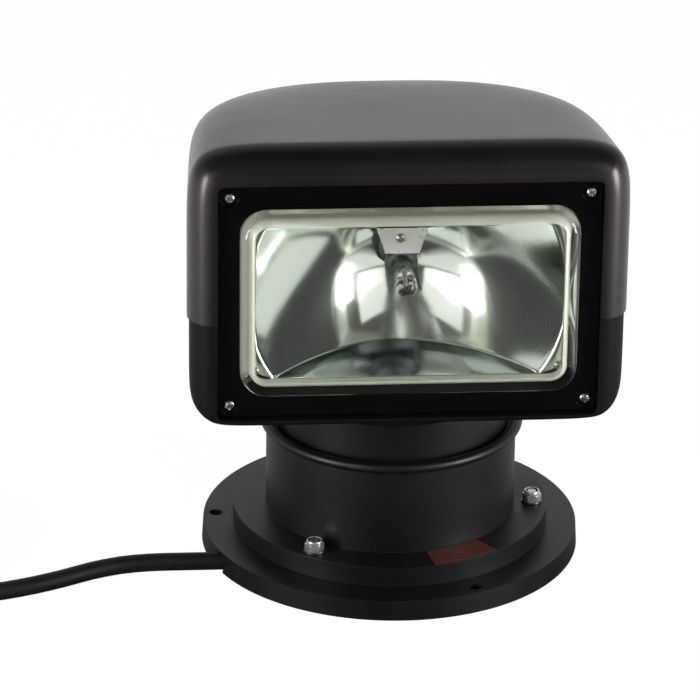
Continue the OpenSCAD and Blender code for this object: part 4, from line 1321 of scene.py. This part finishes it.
@dataclass
class CrossScrews:
    """A set of pan head screws with cross recesses that replaces one CAD node.

    The dome's fall, and the recess's half sizes, soft edges and depth, are shares of the head's size.
    """

    name: str
    node: str
    places: list[Point]
    toward: Point
    head_r: float
    head_h: float
    shank: float = 1.2
    stub: float = 2.0
    dome_fall: Pair = (0.42, 0.35)
    cross_wide: float = 0.17
    cross_long: float = 0.62
    wide_edge: float = 0.08
    long_edge: float = 0.25
    cross_depth: float = 0.62
    rows: int = 16
    points: int = 40
    first_turn: float = 15.0
    next_turn: float = 37.0
    sharp_deg: float = 48.0

    def height(self, x: float, y: float) -> float:
        """Return the head's height at a place: a dome with a tapered cross sunk in it.

        Args:
            x: the place from the head's middle.
            y: the same, at a right angle.

        Returns:
            The height over the head's seat.
        """
        r = math.hypot(x, y) / self.head_r
        middle, edge = self.dome_fall
        dome = self.head_h * (1 - middle * r * r - edge * r ** 8)
        wide, long = self.cross_wide * self.head_r, self.cross_long * self.head_r
        depth = 0.0
        for a, b in ((abs(x), abs(y)), (abs(y), abs(x))):
            across = clamp((wide - a) / (self.wide_edge * self.head_r) + 0.5)
            along = clamp((long - b) / (self.long_edge * self.head_r) + 0.5)
            depth = max(depth, across * along)
        return dome - self.cross_depth * self.head_h * depth

    def rings(self, place: Matrix) -> list[Ring]:
        """Draw one screw.

        Args:
            place: where its seat is and how it is turned, in millimetres.

        Returns:
            Its rings, from the middle of the head to the end of the shank.
        """
        turns = circle(self.points)
        rows = []
        for j in range(1, self.rows + 1):
            r = self.head_r * j / self.rows
            rows.append([(r * c, r * s, self.height(r * c, r * s)) for c, s in turns])
        for r, z in ((self.head_r, 0.0), (self.shank, 0.0), (self.shank, -self.stub)):
            rows.append([(r * c, r * s, z) for c, s in turns])
        return [[tuple(place @ Vector(p)) for p in row] for row in rows]

    def build(self) -> None:
        """Make the screws as one piece on the head."""
        bm = bmesh.new()
        turn = Vector(self.toward).to_track_quat("Z", "X").to_matrix().to_4x4()
        for index, p in enumerate(self.places):
            twist = Matrix.Rotation(math.radians(self.next_turn * index + self.first_turn), 4, "Z")
            loft(bm, self.rings(Matrix.Translation(p) @ turn @ twist), capped=True)
        new_piece(self.name, bm, Body.HEAD, STAINLESS, [self.node], weighted=False,
                  sharp_deg=self.sharp_deg)


@dataclass
class HeadScrews:
    """The head's screws: of the bezel, the mirror bowl, the bulb's clip and the pivot blocks."""

    unit: LampUnit
    bezel_at: Point = (82.0, -81.3, 51.2)
    bezel_head: Pair = (2.6, 1.9)
    bowl_at: Point = (70.0, -74.5, 37.0)
    bowl_head: Pair = (1.9, 1.2)
    clip_at: Pair = (-1.0, 14.5)
    clip_head: Pair = (2.4, 1.7)
    block_x: Pair = (-60.0, 60.0)
    block_y: Pair = (-6.0, 16.0)
    block_z: float = 97.0
    block_head: Pair = (3.5, 2.0)
    block_shank: float = 2.0
    forward: Point = (0.0, -1.0, 0.0)
    down: Point = (0.0, 0.0, -1.0)

    def corners(self, at: Point) -> list[Point]:
        """Return the four places round the lamp axis that mirror one."""
        x, y, h = at
        return [(side * x, y, self.unit.lamp_z + end * h) for side in (-1, 1) for end in (-1, 1)]

    def build(self) -> None:
        """Make the four sets."""
        clip = (self.clip_at[0], self.unit.clip_y, self.unit.lamp_z + self.clip_at[1])
        blocks = [(x, y, self.block_z) for x in self.block_x for y in self.block_y]
        ahead = self.forward
        CrossScrews("bezel_screw_set", "bezel_screws", self.corners(self.bezel_at), ahead,
                    *self.bezel_head).build()
        CrossScrews("bowl_screw_set", "reflector_screws", self.corners(self.bowl_at), ahead,
                    *self.bowl_head).build()
        CrossScrews("clip_screw", "bulb_clip_screw", [clip], ahead, *self.clip_head).build()
        CrossScrews("block_screw_set", "block_screws", blocks, self.down, *self.block_head,
                    self.block_shank).build()


@dataclass
class FlangeFasteners:
    """Studs, washers and lock nuts that hold the base to its disc."""

    circle_r: float = 68.5
    first_deg: float = -6.0
    count: int = 3
    stud_r: float = 2.5
    stud_chamfer: float = 0.4
    top: float = 25.6
    stud_steps: int = 32
    stud_sharp_deg: float = 40.0
    head_z: float = 0.5
    head: tuple[Pair, ...] = (
        (POLE, 0.0), (4.2, 0.0), (4.6, 0.3), (4.6, 3.6), (4.2, 4.0), (POLE, 4.0))
    washer_round: float = 0.2
    seat: float = 21.0
    nut_flat: float = 8.0
    points: int = 60
    nut_outline: tuple[Pair, ...] = (
        (0.0, 4.15), (0.3, 4.7), (2.9, 4.7), (3.4, 4.15), (3.55, 3.8), (4.5, 3.75), (4.85, 3.6), (5.0, 3.3),
        (5.0, 3.1), (4.8, 2.95), (4.55, 2.9), (4.5, 2.6), (3.6, 2.55), (0.0, 2.55), (0.0, 4.15))
    insert_rows: tuple[int, int] = (9, 11)
    nut_sharp_deg: float = 25.0

    def places(self) -> list[Pair]:
        """Return where the studs stand."""
        turns = [math.radians(self.first_deg + 360 / self.count * k) for k in range(self.count)]
        return [(self.circle_r * math.cos(a), self.circle_r * math.sin(a)) for a in turns]

    def studs(self) -> None:
        """Make the studs with their hex heads under the disc; each ends just inside its nut's collar."""
        bm = bmesh.new()
        r, slope = self.stud_r, self.stud_chamfer
        profile = [(POLE, 0.0), (r, 0.0), (r, self.top - slope), (r - slope, self.top), (POLE, self.top)]
        for x, y in self.places():
            lathe(profile, Matrix.Translation((x, y, 0.0)), bm, self.stud_steps)
            lathe(self.head, Matrix.Translation((x, y, self.head_z)), bm, 6)
        new_piece("flange_stud_set", bm, Body.BASE, STAINLESS, ["flange_studs"],
                  weighted=False, sharp_deg=self.stud_sharp_deg)

    def nut(self, x: float, y: float) -> list[Ring]:
        """Draw one lock nut: a chamfered hexagon under a round collar.

        Args:
            x: where it stands.
            y: the same along Y.

        Returns:
            Its rings, up the outside and down the inside.
        """
        sixth = math.pi / 3
        rings: list[Ring] = []
        for height, limit in self.nut_outline:
            ring = []
            for i, (c, s) in enumerate(circle(self.points)):
                a = 2 * math.pi * i / self.points
                r = min(limit, self.nut_flat / 2 / math.cos(a % sixth - sixth / 2))
                ring.append((x + r * c, y + r * s, self.seat + height))
            rings.append(ring)
        return rings

    def nuts(self) -> None:
        """Make the lock nuts, with a nylon ring in each collar."""
        bm = bmesh.new()
        for x, y in self.places():
            loft(bm, self.nut(x, y))
        first, last = self.insert_rows
        for index, face in enumerate(bm.faces):
            row = index // self.points % (len(self.nut_outline) - 1)
            face.material_index = int(first <= row <= last)
        bmesh.ops.remove_doubles(bm, verts=bm.verts, dist=WELD)
        piece = new_piece("flange_nut_set", bm, Body.BASE, BRIGHT_ZINC, ["flange_nuts"],
                          weighted=False, sharp_deg=self.nut_sharp_deg)
        piece.data.materials.append(CASE_PLASTIC.material())

    def build(self) -> None:
        """Make the studs, washers and nuts."""
        self.studs()
        carry("flange_washers", "flange_washer_set", self.washer_round, Body.BASE, ZINC_STEEL)
        self.nuts()


@dataclass
class Castings:
    """Painted castings of the base and the turret."""

    edges: dict[str, tuple[str, float, Body]] = field(default_factory=lambda: {
        "mounting_disc": ("deck_disc", 0.6, Body.BASE),
        "base_housing": ("base_casting", 0.5, Body.BASE),
        "turret_body": ("turret_casting", 0.6, Body.TURRET),
    })

    def build(self) -> None:
        """Make the castings with rounded edges."""
        for node, (name, radius, body) in self.edges.items():
            carry(node, name, radius, body, POWDER_COAT)


def dress_nodes() -> None:
    """Give the CAD nodes that stay in view their finishes."""
    for finish, nodes in NODE_FINISH.items():
        for node in nodes:
            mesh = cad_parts[node].data
            mesh.materials.clear()
            mesh.materials.append(finish.material())
            LOG.info("node %s in %s", node, finish.name)


def main() -> None:
    """Build the studio and the searchlight."""
    logging.basicConfig(level=logging.INFO, format="%(name)s: %(message)s")
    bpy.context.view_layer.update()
    unit = LampUnit()
    Studio().build()
    SupplyCord().build()
    HeadShells().build()
    unit.build()
    HeadScrews(unit).build()
    FlangeFasteners().build()
    Castings().build()
    dress_nodes()


if __name__ == "__main__":
    main()
